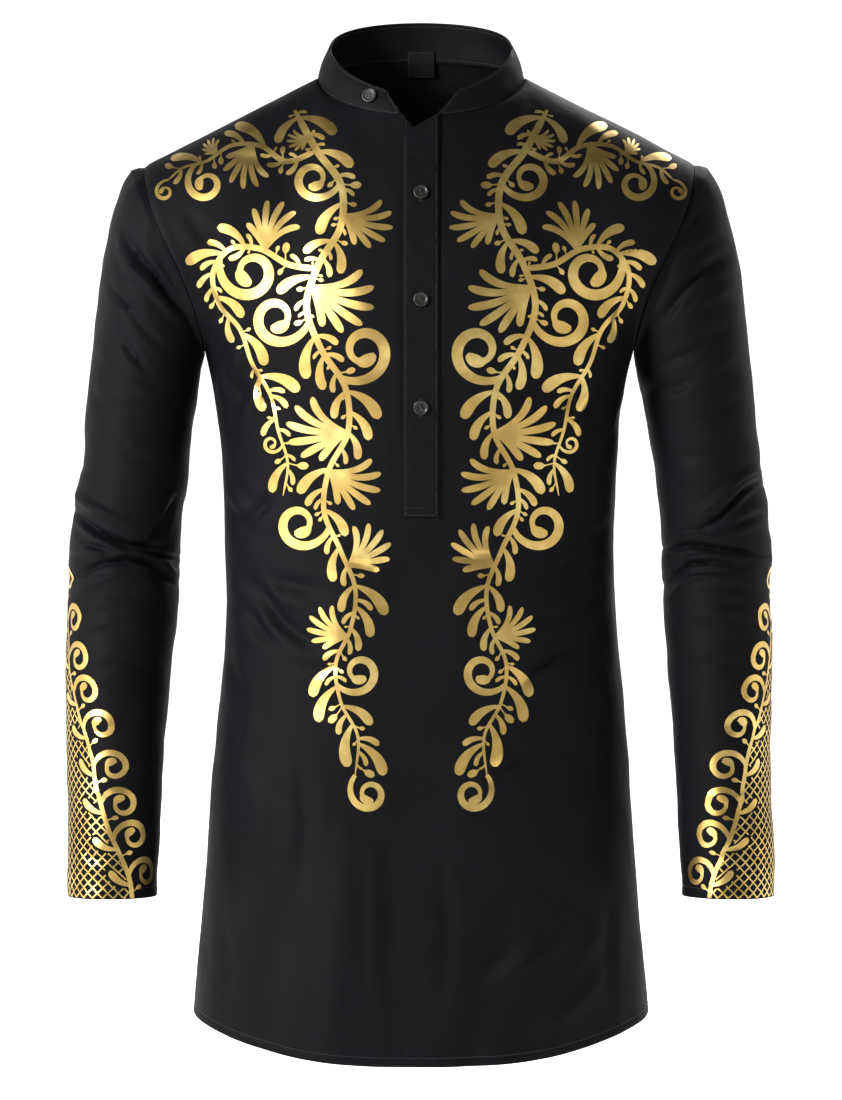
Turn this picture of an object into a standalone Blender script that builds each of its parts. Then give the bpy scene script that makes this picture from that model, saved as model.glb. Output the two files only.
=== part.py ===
"""Long black tunic shirt with a band collar and a half placket, filled out as it is when worn.

The front faces -Y, +Z is up and left and right are as seen from the front.
The origin is the middle of the neck at shoulder height, where the wearer holds the shirt.
Each panel is a closed wall of cloth: an outer surface worked out from named sections,
and an inner surface one wall thickness behind it.
"""
import math

import bmesh
import bpy
import numpy as np

MM = 0.001

# Cloth and seams
WALL = 1.6 * MM
BAND_WALL = 2.0 * MM
SEAM_GAP = 0.4 * MM
LAY_GAP = 0.3 * MM
PLACKET_LIFT = 0.6 * MM

# Heights of the body
ARMPIT_Z = -227 * MM
HEM_CENTRE_Z = -819 * MM
HEM_SIDE_RISE = 32 * MM
HEM_CURVE = 2.4
SECTION_POWER = 2.3

# Neck ring at the foot of the collar
NECK_HALF_WIDTH = 88 * MM
NECK_MIDDLE_Y = 2 * MM
NECK_FRONT_REACH = 75 * MM
NECK_BACK_REACH = 66 * MM
NECK_SIDE_Z = 6 * MM
NECK_FRONT_DROP = 40 * MM
NECK_BACK_RISE = 22 * MM

# Collar band: its ends at the foot and at the top, and its height from front to back
BAND_FOOT_LEFT_X = -15 * MM
BAND_FOOT_RIGHT_X = 12 * MM
BAND_TOP_LEFT_X = -27 * MM
BAND_TOP_RIGHT_X = 29 * MM
BAND_TOP_HALF_WIDTH = 77.5 * MM
BAND_TOP_FRONT_Y = -66 * MM
BAND_TOP_BACK_Y = 64 * MM
BAND_TOP_FRONT_Z = -15 * MM
BAND_TOP_SIDE_Z = 30 * MM
BAND_TOP_BACK_Z = 62 * MM
BAND_CORNER = 5 * MM
BAND_CORNER_DROP = 0.6
BAND_BULGE = 1.5 * MM
# How the top edge bends from its sides to the front and to the back
BAND_FRONT_BEND = 1.3
BAND_BACK_BEND = 0.75

# How the panels turn over the shoulders, for the front (-1) and the back (1)
NECK_SIDE_ROUNDNESS = {-1: 0.45, 1: 1.0}
SHOULDER_POWER = {-1: 2.2, 1: 2.6}
NECK_SLOPE_POWER = {-1: 1.8, 1: 2.8}

# Shoulder points, where seam and armhole meet, and armpits, left then right
SHOULDER_POINTS = {-1: (-235 * MM, 5 * MM, -69 * MM), 1: (232 * MM, 5 * MM, -67 * MM)}
ARMPIT_POINTS = {-1: (-183 * MM, 0.0, ARMPIT_Z), 1: (180 * MM, 0.0, ARMPIT_Z)}
ARMHOLE_HALF_DEPTH = 74 * MM
ARMHOLE_SWAY = 4 * MM
ARMHOLE_PULL = 2.0
# How far the edge of each wall leans out of the armhole's plane, low in the armhole
ARMHOLE_LEAN = 0.6
ARMPIT_LEAN = 0.5
# How much wider the neck edge of a panel is at the sides, where two seams meet
NECK_MITRE = 0.5

# Half placket
PLACKET_HALF_WIDTH = 14.5 * MM
SLOT_HALF_WIDTH = 13.5 * MM
PLACKET_FOOT_Z = -368 * MM
SLOT_FOOT_Z = -365 * MM
PLACKET_WALL = 1.4 * MM
NECK_V_Z = -44 * MM
NECK_V_X = -5 * MM
OVER_TOP_SLOPE = 0.6
UNDER_TOP_SLOPE = -1.0

# Buttons
BUTTON_RADIUS = 6.2 * MM
BUTTON_THICKNESS = 2.4 * MM
BUTTON_RIM = 1.4 * MM
BUTTON_DISH = 0.6 * MM
BUTTON_SIDES = 16
BUTTON_BACK_SHARE = 0.8
BUTTON_EDGE_LOW = 0.35
BUTTON_EDGE_HIGH = 0.75
BUTTON_RIM_TOP = 0.5
BUTTON_RIM_FOOT = 1.8
COLLAR_BUTTON_WAY = (-0.28, -0.9, 0.25)
COLLAR_BUTTON_LIFT = 1.2 * MM
PLACKET_BUTTONS = {"button_top": -101 * MM, "button_middle": -190 * MM, "button_low": -278 * MM}

# Neck label
LABEL_HALF_WIDTH = 11.5 * MM
LABEL_TOP_Z = 37 * MM
LABEL_BOTTOM_Z = 15 * MM
LABEL_WALL = 1.0 * MM
LABEL_LEAN = 0.33
BAND_CHORD = 0.55 * MM

# Colours
BLACK_CLOTH = (0.012, 0.012, 0.014, 1.0)
BLACK_BUTTON = (0.008, 0.008, 0.009, 1.0)
BLACK_LABEL = (0.006, 0.006, 0.007, 1.0)

# Sections of the body below the armpits, in millimetres
BODY_COLUMNS = ("z", "left", "right", "front", "back")
BODY_SECTIONS = [
    (-825, 193.0, 193.0, 116, 112),
    (-778, 192.5, 192.5, 116, 112),
    (-727, 188.3, 187.4, 114, 110),
    (-659, 182.3, 181.5, 112, 107),
    (-591, 178.0, 177.2, 110, 103),
    (-523, 170.4, 172.0, 107, 98),
    (-455, 165.3, 166.2, 105, 92),
    (-387, 166.0, 163.6, 105, 90),
    (-319, 168.7, 166.0, 110, 96),
    (-268, 174.7, 170.4, 115, 102),
    (-251, 177.4, 173.6, 116, 104),
    (-227, 183.0, 180.0, 118, 106),
]

# Rings of each sleeve in the front view, in millimetres: the outer and the inner end of the
# ring, how far its middle stands behind the side seam, and half its depth
SLEEVE_COLUMNS = ("outer_x", "outer_z", "inner_x", "inner_z", "middle_y", "half_depth")
LEFT_SLEEVE = [
    (-246.0, -72, -184.0, -229, 4, 74),
    (-255.0, -86, -184.6, -232, 4, 74),
    (-262.3, -108, -185.5, -237, 4, 73),
    (-268.2, -134, -186.6, -242, 4, 72),
    (-273.3, -166, -187.6, -249, 4, 70),
    (-276.7, -198, -188.8, -258, 4, 68),
    (-280.0, -230, -190.0, -270, 3, 66),
    (-283.5, -264, -192.6, -286, 2, 64),
    (-286.3, -294, -195.2, -307, 1, 62),
    (-287.0, -320, -197.0, -328, 0, 61),
    (-292.0, -336, -199.0, -347, 0, 60),
    (-294.5, -357, -202.0, -364, -1, 59),
    (-296.3, -374, -203.4, -379, -2, 58),
    (-298.8, -389, -204.6, -393, -3, 57),
    (-299.6, -404, -205.0, -406, -4, 57),
    (-298.8, -421, -205.0, -421, -6, 56),
    (-299.6, -438, -206.3, -438, -8, 55),
    (-298.8, -459, -207.6, -459, -11, 54),
    (-299.6, -485, -211.0, -485, -15, 52),
    (-298.4, -523, -213.0, -523, -21, 50),
    (-297.9, -565, -216.4, -565, -28, 47),
    (-297.1, -608, -218.0, -608, -35, 45),
    (-297.1, -650, -220.0, -650, -42, 43),
    (-297.1, -684, -221.4, -684, -47, 41),
]
RIGHT_SLEEVE = [
    (243.0, -70, 181.0, -229, 4, 74),
    (252.0, -84, 181.6, -232, 4, 74),
    (260.0, -106, 182.5, -237, 4, 73),
    (266.0, -132, 183.6, -242, 4, 72),
    (272.5, -164, 184.6, -249, 4, 70),
    (275.5, -198, 185.8, -258, 4, 68),
    (279.2, -230, 188.0, -268, 3, 66),
    (282.0, -262, 190.8, -284, 2, 64),
    (285.2, -296, 194.6, -306, 1, 62),
    (287.7, -320, 197.5, -328, 0, 61),
    (290.0, -338, 199.5, -347, 0, 60),
    (293.6, -354, 201.2, -362, -1, 59),
    (293.2, -372, 202.0, -377, -2, 58),
    (296.8, -388, 202.8, -391, -3, 57),
    (297.6, -403, 202.8, -404, -4, 57),
    (294.8, -421, 203.4, -421, -6, 56),
    (295.6, -438, 204.4, -438, -8, 55),
    (297.0, -459, 206.0, -459, -11, 54),
    (297.4, -485, 207.4, -485, -15, 52),
    (295.8, -523, 210.4, -523, -21, 50),
    (294.5, -565, 213.5, -565, -28, 47),
    (295.4, -608, 216.0, -608, -35, 45),
    (297.4, -650, 218.0, -650, -42, 43),
    (296.2, -684, 220.0, -684, -47, 41),
]

# Largest folds, in millimetres: two ends across and up, half width, and height, less than
# nothing for a trough
FOLD_FALL = 1.6
FOLD_END_SHARE = 0.55
FOLD_COLUMNS = ("x1", "z1", "x2", "z2", "spread", "height")
# A panel is calm beside its seams, as a share of it, and beside the placket
CALM_SIDE = 0.12
CALM_TOP = 0.25
CALM_PLACKET = 18 * MM
# A sleeve is calm for its first rings, and its front folds fade out round its sides
CALM_RINGS = 3.0
FRONT_FALL = 1.2
FRONT_FOLDS = [
    (-150, -236, -164, -266, 10, 4.0),
    (-146, -248, -158, -286, 10, -4.0),
    (-133, -262, -149, -296, 10, 4.0),
    (-157, -346, -129, -370, 11, 3.5),
    (-124, -350, -149, -377, 10, -4.0),
    (-146, -420, -118, -452, 12, -5.0),
    (-118, -452, -88, -471, 12, -5.0),
    (-154, -440, -133, -466, 10, -4.0),
    (-125, -418, -82, -430, 11, -3.5),
    (148, -238, 126, -290, 13, 3.5),
    (156, -262, 140, -310, 12, -3.5),
    (150, -390, 112, -420, 14, -3.5),
    (118, -478, 82, -504, 15, -3.5),
    (112, -553, 56, -585, 17, -3.5),
    (112, -718, 34, -762, 22, 4.5),
    (140, -752, 106, -800, 16, 4.0),
    (70, -700, 40, -815, 18, -4.0),
    (-60, -640, -72, -815, 24, 4.5),
    (-112, -660, -128, -810, 22, -4.5),
    (-20, -690, -14, -815, 20, -3.5),
]
BACK_FOLDS = [
    (-150, -236, -120, -300, 14, 4.5),
    (-160, -262, -134, -330, 13, -4.5),
    (148, -238, 116, -306, 14, 4.5),
    (158, -266, 130, -336, 13, -4.5),
    (-140, -395, -50, -428, 14, -5.0),
    (-112, -366, -30, -392, 15, 4.0),
    (140, -402, 40, -436, 14, -5.0),
    (118, -372, 24, -404, 15, 4.0),
    (-90, -462, 70, -470, 17, -4.0),
    (-100, -640, -118, -815, 24, 5.0),
    (-44, -620, -52, -815, 24, -4.5),
    (24, -640, 18, -815, 24, 4.5),
    (82, -620, 96, -815, 24, -4.5),
    (134, -660, 150, -800, 20, 4.0),
]
SLEEVE_FRONT_FOLDS = {
    -1: [
        (-250, -124, -233, -155, 9, -5.0),
        (-233, -155, -192, -196, 9, -5.0),
        (-249, -189, -228, -213, 11, -3.5),
        (-258, -212, -224, -246, 11, -3.5),
        (-290, -352, -262, -375, 9, 4.0),
        (-287, -364, -250, -388, 8, -6.0),
        (-250, -388, -224, -394, 8, -6.0),
        (-226, -392, -203, -357, 9, -5.0),
        (-292, -417, -262, -402, 8, -6.0),
        (-262, -402, -225, -407, 8, -6.0),
        (-225, -407, -206, -426, 8, -5.0),
        (-270, -395, -226, -399, 7, 3.5),
    ],
    1: [
        (235, -114, 212, -132, 10, -4.5),
        (212, -132, 203, -164, 10, -4.5),
        (255, -146, 235, -164, 10, -4.5),
        (235, -164, 198, -204, 10, -4.5),
        (248, -215, 206, -239, 11, -4.0),
        (230, -251, 190, -262, 11, -4.0),
        (280, -334, 232, -369, 10, 4.5),
        (284, -344, 232, -380, 9, -5.0),
        (202, -394, 242, -393, 8, -6.0),
        (242, -393, 290, -397, 8, -6.0),
        (203, -431, 222, -410, 8, -5.5),
        (222, -410, 270, -409, 8, -5.5),
    ],
}
SLEEVE_BACK_FOLDS = {
    -1: [
        (-252, -150, -206, -196, 11, -4.5),
        (-268, -214, -214, -246, 12, -4.0),
        (-292, -330, -226, -352, 11, -4.5),
        (-290, -372, -214, -384, 10, 4.0),
        (-288, -436, -222, -452, 11, -4.0),
    ],
    1: [
        (250, -140, 204, -190, 11, -4.5),
        (266, -222, 212, -250, 12, -4.0),
        (288, -322, 224, -348, 11, -4.5),
        (290, -368, 214, -386, 10, 4.0),
        (286, -440, 220, -454, 11, -4.0),
    ],
}

# Where the points of each wall lie. Across a panel 0 is the middle and 1 the side edge;
# up a panel 0 is the hem, 1 the armpit and 2 the top edge.
SLOT_SHARE = 0.05
NECK_SHARE = 0.42
FRONT_ROWS_BELOW = 23
FRONT_ROWS_ABOVE = 11
SLOT_ROW = 18
NECK_STEPS = 5
SHOULDER_STEPS = 8
BACK_ROWS_BELOW = 19
BACK_ROWS_ABOVE = 11
SLEEVE_AROUND = 24
SLEEVE_EXTRA_RINGS = {10: 1, 11: 1, 12: 1, 13: 1, 14: 1, 15: 1}
BAND_STEPS = 30
BAND_ROWS = 5
PLACKET_ROWS = 16
PLACKET_COLUMNS = 5
LABEL_POINTS = 5
SHARP_ANGLE = math.radians(50)


def column(rows, names, name):
    """One named column of a table, as an array."""
    place = names.index(name)
    return np.array([row[place] for row in rows], dtype=float)


def smooth_read(at, knots, values):
    """Values read from a smooth curve through a table's points."""
    slopes = np.gradient(values, knots)
    index = np.clip(np.searchsorted(knots, at, side="right") - 1, 0, len(knots) - 2)
    step = knots[index + 1] - knots[index]
    u = (at - knots[index]) / step
    start = values[index] * (1 + 2 * u) + slopes[index] * step * u
    end = values[index + 1] * (3 - 2 * u) + slopes[index + 1] * step * (u - 1)
    return start * (1 - u) ** 2 + end * u ** 2


def body_size(z, name):
    """A size of the body at height z, from the table of sections."""
    return MM * smooth_read(z / MM, column(BODY_SECTIONS, BODY_COLUMNS, "z"),
                            column(BODY_SECTIONS, BODY_COLUMNS, name))


def unit(vectors):
    """Vectors scaled to length one."""
    length = np.linalg.norm(vectors, axis=-1, keepdims=True)
    return vectors / np.maximum(length, 1e-12)


def outward_normals(points, closed):
    """Normals of a grid of points, where rows run up and columns run to the right or around."""
    up = np.gradient(points, axis=0)
    if closed:
        wrapped = np.concatenate([points[:, -1:], points, points[:, :1]], axis=1)
        along = np.gradient(wrapped, axis=1)[:, 1:-1]
    else:
        along = np.gradient(points, axis=1)
    return unit(np.cross(along, up))


def fade(distance, reach):
    """Rises softly from nothing at an edge to one at the given reach."""
    u = np.clip(distance / reach, 0, 1)
    return u * u * (3 - 2 * u)


def armhole_point(side, share, facing):
    """A point of the armhole seam: share 0 at the armpit, 1 at the shoulder."""
    low = np.array(ARMPIT_POINTS[side])
    high = np.array(SHOULDER_POINTS[side])
    turn = math.pi * share
    rise = (1 - np.cos(turn)) / 2
    points = low + (high - low) * rise[..., None]
    points[..., 1] += facing * ARMHOLE_HALF_DEPTH * np.sin(turn)
    points[..., 0] -= side * ARMHOLE_SWAY * np.sin(2 * math.pi * rise)
    return points


def armhole_outward(side):
    """The way out of the armhole's plane, away from the body."""
    line = np.array(SHOULDER_POINTS[side]) - np.array(ARMPIT_POINTS[side])
    across = np.array([side * line[2], 0.0, -side * line[0]])
    return across / np.linalg.norm(across) * np.sign(across[0] * side)


def armhole_inward(side, points, rise, tilt):
    """The way from the armhole's outer edge to its inner edge."""
    middle = (np.array(SHOULDER_POINTS[side]) + np.array(ARMPIT_POINTS[side])) / 2
    low = (1 - rise)[..., None] ** 2
    return unit(unit(middle - points) + tilt * low * armhole_outward(side))


def neck_ring(turn):
    """A point at the foot of the collar: turn 0 is the front, pi the back, by the right."""
    reach = np.where(np.cos(turn) > 0, NECK_FRONT_REACH, NECK_BACK_REACH)
    lift = np.where(np.cos(turn) > 0, NECK_FRONT_DROP, NECK_BACK_RISE)
    return np.stack([
        NECK_HALF_WIDTH * np.sin(turn),
        NECK_MIDDLE_Y - reach * np.cos(turn),
        NECK_SIDE_Z - lift * np.cos(turn),
    ], axis=-1)


def neck_inward(turn):
    """The way from the neck seam's outer edge to its inner edge, in the seam's own plane."""
    return unit(np.array([0.0, NECK_MIDDLE_Y, NECK_SIDE_Z]) - neck_ring(turn))


def body_ring(share, side, z, facing):
    """Points of the body's section at height z, share 0 at the middle and 1 at the side."""
    width = np.where(side < 0, body_size(z, "left"), body_size(z, "right"))
    depth = body_size(z, "front" if facing < 0 else "back")
    beyond = np.clip((share - SLOT_SHARE) / (1 - SLOT_SHARE), 0, 1)
    inside = np.minimum(share / SLOT_SHARE, 1) * SLOT_HALF_WIDTH
    x = inside + (width - SLOT_HALF_WIDTH) * np.sin(beyond * math.pi / 2)
    flat = np.clip(1 - (x / width) ** SECTION_POWER, 0, 1)
    return np.stack([side * x, facing * depth * flat ** (1 / SECTION_POWER), z], axis=-1)


def top_edge(share, side, facing):
    """The neckline and then the shoulder seam of a panel, and how round it turns over there."""
    start = math.asin(SLOT_HALF_WIDTH / NECK_HALF_WIDTH)
    along = np.clip((share - SLOT_SHARE) / (NECK_SHARE - SLOT_SHARE), 0, 1)
    angle = np.where(share < SLOT_SHARE, start * share / SLOT_SHARE,
                     start + (math.pi / 2 - start) * along)
    turn = angle if facing < 0 else math.pi - angle
    neck = neck_ring(turn)
    neck[..., 0] *= side
    out = np.clip((share - NECK_SHARE) / (1 - NECK_SHARE), 0, 1)
    ends = np.where(side[..., None] < 0, np.array(SHOULDER_POINTS[-1]), np.array(SHOULDER_POINTS[1]))
    beside_neck = NECK_SIDE_ROUNDNESS[facing]
    roundness = beside_neck * np.sin(angle) ** 2 + (1 - beside_neck) * fade(out, 0.8)
    return neck + (ends - neck) * out[..., None], roundness


def rows_above(count):
    """Places from the armpit to the top edge, closer together over the shoulder."""
    even = np.linspace(0, 1, count)
    return 1 + (even + np.sin(even * math.pi / 2)) / 2


def fold_height(points, rows):
    """Height of the folds at each point, seen from the front."""
    height = np.zeros(points.shape[:-1])
    place = points[..., (0, 2)]
    for x1, z1, x2, z2, spread, tall in rows:
        start = np.array([x1, z1]) * MM
        run = np.array([x2, z2]) * MM - start
        length = np.linalg.norm(run)
        along = np.clip(((place - start) @ run) / length ** 2, 0, 1)
        gap = np.linalg.norm(place - start - along[..., None] * run, axis=-1)
        soft_ends = FOLD_END_SHARE + (1 - FOLD_END_SHARE) * np.sin(math.pi * along)
        height += tall * MM * soft_ends * np.exp(-(gap / (spread * MM)) ** 2 * FOLD_FALL)
    return height


def panel_surface(facing, across, up):
    """Outer points of the front (facing -1) or the back (facing 1)."""
    grid_across, grid_up = np.meshgrid(across, up)
    share = np.abs(grid_across)
    side = np.where(grid_across < 0, -1.0, 1.0)
    below = np.minimum(grid_up, 1)
    reach = np.sin(np.clip((share - SLOT_SHARE) / (1 - SLOT_SHARE), 0, 1) * math.pi / 2)
    hem = HEM_CENTRE_Z + HEM_SIDE_RISE * reach ** HEM_CURVE
    points = body_ring(share, side, hem + (ARMPIT_Z - hem) * below, facing)

    turn = (np.maximum(grid_up, 1) - 1) * math.pi / 2
    rise = np.sin(turn)
    top, shoulder = top_edge(share, side, facing)
    upper = points + (top - points) * rise[..., None]
    power = SHOULDER_POWER[facing]
    round_share = np.clip(1 - rise ** power, 0, 1) ** (1 / power)
    over_shoulder = top[..., 1] + (points[..., 1] - top[..., 1]) * round_share
    to_neck = points[..., 1] + (top[..., 1] - points[..., 1]) * rise ** NECK_SLOPE_POWER[facing]
    upper[..., 1] = shoulder * over_shoulder + (1 - shoulder) * to_neck

    for which in (-1, 1):
        edge = armhole_point(which, (up[up >= 1] - 1), facing)
        straight = np.array(ARMPIT_POINTS[which]) + (
            np.array(SHOULDER_POINTS[which]) - np.array(ARMPIT_POINTS[which])
        ) * np.sin((up[up >= 1] - 1) * math.pi / 2)[:, None]
        shift = (edge - straight)[:, None, :]
        weight = np.clip(across * which, 0, 1)[None, :, None] ** ARMHOLE_PULL
        upper[up >= 1] += shift * weight
    return np.where(grid_up[..., None] > 1, upper, points)


def panel_points(facing, across, up):
    """Outer points of a panel with its folds, and the ways to its inner points."""
    points = panel_surface(facing, across, up)
    normals = outward_normals(points, closed=False) * (1 if facing < 0 else -1)
    rows = FRONT_FOLDS if facing < 0 else BACK_FOLDS
    grid_across, grid_up = np.meshgrid(across, up)
    calm = fade(1 - np.abs(grid_across), CALM_SIDE) * fade(2 - grid_up, CALM_TOP)
    if facing < 0:
        centre = np.abs(points[..., 0]) - PLACKET_HALF_WIDTH
        low = PLACKET_FOOT_Z - points[..., 2]
        calm = calm * np.maximum(fade(centre, CALM_PLACKET), fade(low, CALM_PLACKET))
    points = points + normals * (fold_height(points, rows) * calm)[..., None]
    inward = -outward_normals(points, closed=False) * (1 if facing < 0 else -1)

    last = len(across) - 1
    for edge, side in ((0, -1), (last, 1)):
        inward[up < 1, edge] = (-side, 0.0, 0.0)
        turn = up[up > 1] - 1
        rise = (1 - np.cos(math.pi * turn)) / 2
        inward[up > 1, edge] = armhole_inward(side, points[up > 1, edge], rise, -ARMHOLE_LEAN)
        inward[up == 1, edge] = unit(np.array([-side, 0.0, ARMPIT_LEAN]))
    share = np.abs(across)
    start = math.asin(SLOT_HALF_WIDTH / NECK_HALF_WIDTH)
    for place in range(1, last):
        side = math.copysign(1, across[place])
        if share[place] > NECK_SHARE + 1e-6:
            line = np.array(SHOULDER_POINTS[side]) - neck_ring(np.array(math.pi / 2)) * (side, 1, 1)
            inward[-1, place] = unit(np.array([line[2] * side, 0.0, -line[0] * side]))
        else:
            along = max(share[place] - SLOT_SHARE, 0) / (NECK_SHARE - SLOT_SHARE)
            angle = start + (math.pi / 2 - start) * along
            turn = angle if facing < 0 else math.pi - angle
            mitre = 1 + NECK_MITRE * math.sin(angle) ** 2
            inward[-1, place] = neck_inward(np.array(turn)) * (side, 1, 1) * mitre
    points[..., 1] += facing * SEAM_GAP / 2
    return points, inward


def wall_mesh(name, outer, inner, keep=None, closed=False):
    """A closed wall between two grids of points, with its edges filled."""
    rows, columns = outer.shape[:2]
    mesh = bmesh.new()
    grids = []
    for points in (outer, inner):
        grids.append([[None] * columns for _ in range(rows)])
        for i in range(rows):
            for j in range(columns):
                grids[-1][i][j] = mesh.verts.new(points[i, j])
    spans = columns if closed else columns - 1
    used = {}
    for i in range(rows - 1):
        for j in range(spans):
            if keep is not None and not keep[i][j]:
                continue
            k = (j + 1) % columns
            loop = [(i, j), (i, k), (i + 1, k), (i + 1, j)]
            mesh.faces.new([grids[0][a][b] for a, b in loop])
            mesh.faces.new([grids[1][a][b] for a, b in reversed(loop)])
            for start, end in zip(loop, loop[1:] + loop[:1]):
                used[(start, end)] = True
    for start, end in used:
        if (end, start) not in used:
            mesh.faces.new([grids[0][end[0]][end[1]], grids[0][start[0]][start[1]],
                            grids[1][start[0]][start[1]], grids[1][end[0]][end[1]]])
    for vertex in [v for v in mesh.verts if not v.link_faces]:
        mesh.verts.remove(vertex)
    return finish_object(name, mesh)


def finish_object(name, mesh):
    """Turns a bmesh into an object whose faces point out, shaded smooth."""
    bmesh.ops.recalc_face_normals(mesh, faces=mesh.faces)
    if mesh.calc_volume(signed=True) < 0:
        bmesh.ops.reverse_faces(mesh, faces=mesh.faces)
    data = bpy.data.meshes.new(name)
    mesh.to_mesh(data)
    mesh.free()
    data.shade_smooth()
    data.set_sharp_from_angle(angle=SHARP_ANGLE)
    piece = bpy.data.objects.new(name, data)
    bpy.context.scene.collection.objects.link(piece)
    return piece


def make_material(name, colour, roughness):
    """A plain Principled material."""
    material = bpy.data.materials.new(name)
    material.use_nodes = True
    shader = material.node_tree.nodes["Principled BSDF"]
    shader.inputs["Base Color"].default_value = colour
    shader.inputs["Roughness"].default_value = roughness
    shader.inputs["Metallic"].default_value = 0.0
    return material


def panel_columns(with_slot):
    """Places across a panel, closer together towards the sides."""
    neck = np.linspace(SLOT_SHARE if with_slot else 0.0, NECK_SHARE, NECK_STEPS + 1)
    shoulder = np.linspace(NECK_SHARE, 1.0, SHOULDER_STEPS + 1)[1:]
    half = np.concatenate([neck, shoulder])
    if with_slot:
        return np.concatenate([-half[::-1], [0.0], half])
    return np.concatenate([-half[::-1][:-1], half])


def make_front():
    """The front panel, with the slot that the placket closes."""
    across = panel_columns(with_slot=True)
    slot_up = (SLOT_FOOT_Z - HEM_CENTRE_Z) / (ARMPIT_Z - HEM_CENTRE_Z)
    below = np.concatenate([np.linspace(0, slot_up, SLOT_ROW),
                            np.linspace(slot_up, 1, FRONT_ROWS_BELOW - SLOT_ROW + 1)[1:]])
    up = np.concatenate([below, rows_above(FRONT_ROWS_ABOVE)[1:]])
    points, inward = panel_points(-1, across, up)
    middle = len(across) // 2
    keep = [[not (j in (middle - 1, middle) and i >= SLOT_ROW - 1)
             for j in range(len(across) - 1)] for i in range(len(up) - 1)]
    return wall_mesh("front_body", points, points + inward * WALL, keep)


def make_back():
    """The back panel, in one piece."""
    across = panel_columns(with_slot=False)
    up = np.concatenate([np.linspace(0, 1, BACK_ROWS_BELOW), rows_above(BACK_ROWS_ABOVE)[1:]])
    points, inward = panel_points(1, across, up)
    return wall_mesh("back_body", points, points + inward * WALL)


def sleeve_points(side, around, extra):
    """Outer points of a sleeve, ring by ring from the armhole, and the ways inward."""
    table = LEFT_SLEEVE if side < 0 else RIGHT_SLEEVE
    knots = np.arange(len(table), dtype=float)
    steps = []
    for index in range(len(table) - 1):
        parts = 1 + extra.get(index, 0)
        steps += [index + part / parts for part in range(parts)]
    steps = np.array(steps + [len(table) - 1.0])
    sizes = {name: MM * smooth_read(steps, knots, column(table, SLEEVE_COLUMNS, name))[:, None]
             for name in SLEEVE_COLUMNS}
    turn = np.arange(around) / around * 2 * math.pi
    towards_outer = (1 + np.cos(turn)) / 2
    x = sizes["inner_x"] + (sizes["outer_x"] - sizes["inner_x"]) * towards_outer
    z = sizes["inner_z"] + (sizes["outer_z"] - sizes["inner_z"]) * towards_outer
    y = sizes["middle_y"] - sizes["half_depth"] * np.sin(turn)
    rings = np.stack([x, y, z], axis=-1)

    share = np.where(turn <= math.pi, 1 - turn / math.pi, turn / math.pi - 1)
    facing = np.where(turn <= math.pi, -1.0, 1.0)
    seam = armhole_point(side, share, facing) + armhole_outward(side) * SEAM_GAP
    rings = np.concatenate([seam[None], rings])
    normals = outward_normals(rings, closed=True) * side
    fronts = np.clip(0.5 - FRONT_FALL * normals[..., 1], 0, 1)
    height = fold_height(rings, SLEEVE_FRONT_FOLDS[side]) * fronts
    height += fold_height(rings, SLEEVE_BACK_FOLDS[side]) * (1 - fronts)
    height *= fade(np.arange(len(rings)), CALM_RINGS)[:, None]
    rings = rings + normals * height[..., None]
    inward = -outward_normals(rings, closed=True) * side
    rise = (1 + np.cos(turn)) / 2
    inward[0] = armhole_inward(side, seam, rise, ARMHOLE_LEAN)
    return rings, inward


def make_sleeve(name, side):
    """A set-in sleeve from the armhole to its plain hem."""
    rings, inward = sleeve_points(side, SLEEVE_AROUND, SLEEVE_EXTRA_RINGS)
    return wall_mesh(name, rings, rings + inward * WALL, closed=True)


def band_top(turn):
    """A point of the collar's top edge; turn runs as it does at the foot."""
    front = np.cos(turn) > 0
    reach = np.where(front, -BAND_TOP_FRONT_Y, BAND_TOP_BACK_Y)
    lift = np.where(front, BAND_TOP_SIDE_Z - BAND_TOP_FRONT_Z, BAND_TOP_BACK_Z - BAND_TOP_SIDE_Z)
    bend = np.where(front, np.abs(np.cos(turn)) ** BAND_FRONT_BEND,
                    np.abs(np.cos(turn)) ** BAND_BACK_BEND)
    return np.stack([BAND_TOP_HALF_WIDTH * np.sin(turn), -reach * np.cos(turn),
                     BAND_TOP_SIDE_Z - lift * np.where(front, bend, -bend)], axis=-1)


def band_points(steps, rows):
    """Outer points of the collar band, from its left end round the back to its right end."""
    foot_left = 2 * math.pi + math.asin(BAND_FOOT_LEFT_X / NECK_HALF_WIDTH)
    foot_right = math.asin(BAND_FOOT_RIGHT_X / NECK_HALF_WIDTH)
    top_left = 2 * math.pi + math.asin(BAND_TOP_LEFT_X / BAND_TOP_HALF_WIDTH)
    top_right = math.asin(BAND_TOP_RIGHT_X / BAND_TOP_HALF_WIDTH)
    along = np.linspace(0, 1, steps + 1)
    foot_turn = foot_left + (foot_right - foot_left) * along
    foot = neck_ring(foot_turn) + np.array([0.0, 0.0, SEAM_GAP])
    top = band_top(top_left + (top_right - top_left) * along)
    up = np.linspace(0, 1, rows)[:, None, None]
    points = foot + (top - foot) * up
    bulge = np.sin(math.pi * up) * BAND_BULGE
    out = np.stack([np.sin(foot_turn), -np.cos(foot_turn), 0 * foot_turn], axis=-1)
    points = points + out * bulge
    length = np.linalg.norm(np.diff(top, axis=0), axis=-1).sum()
    near_end = np.minimum(along, 1 - along) * length
    drop = np.clip(1 - near_end / BAND_CORNER, 0, 1) ** 2 * BAND_CORNER * BAND_CORNER_DROP
    points[..., 2] -= up[..., 0] * drop
    inward = -outward_normals(points[:, ::-1], closed=False)[:, ::-1]
    inward[0] = neck_inward(foot_turn)
    return points, inward


def make_band():
    """The stand collar, open in front."""
    points, inward = band_points(BAND_STEPS, BAND_ROWS)
    return wall_mesh("collar_band", points, points + inward * BAND_WALL)


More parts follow.
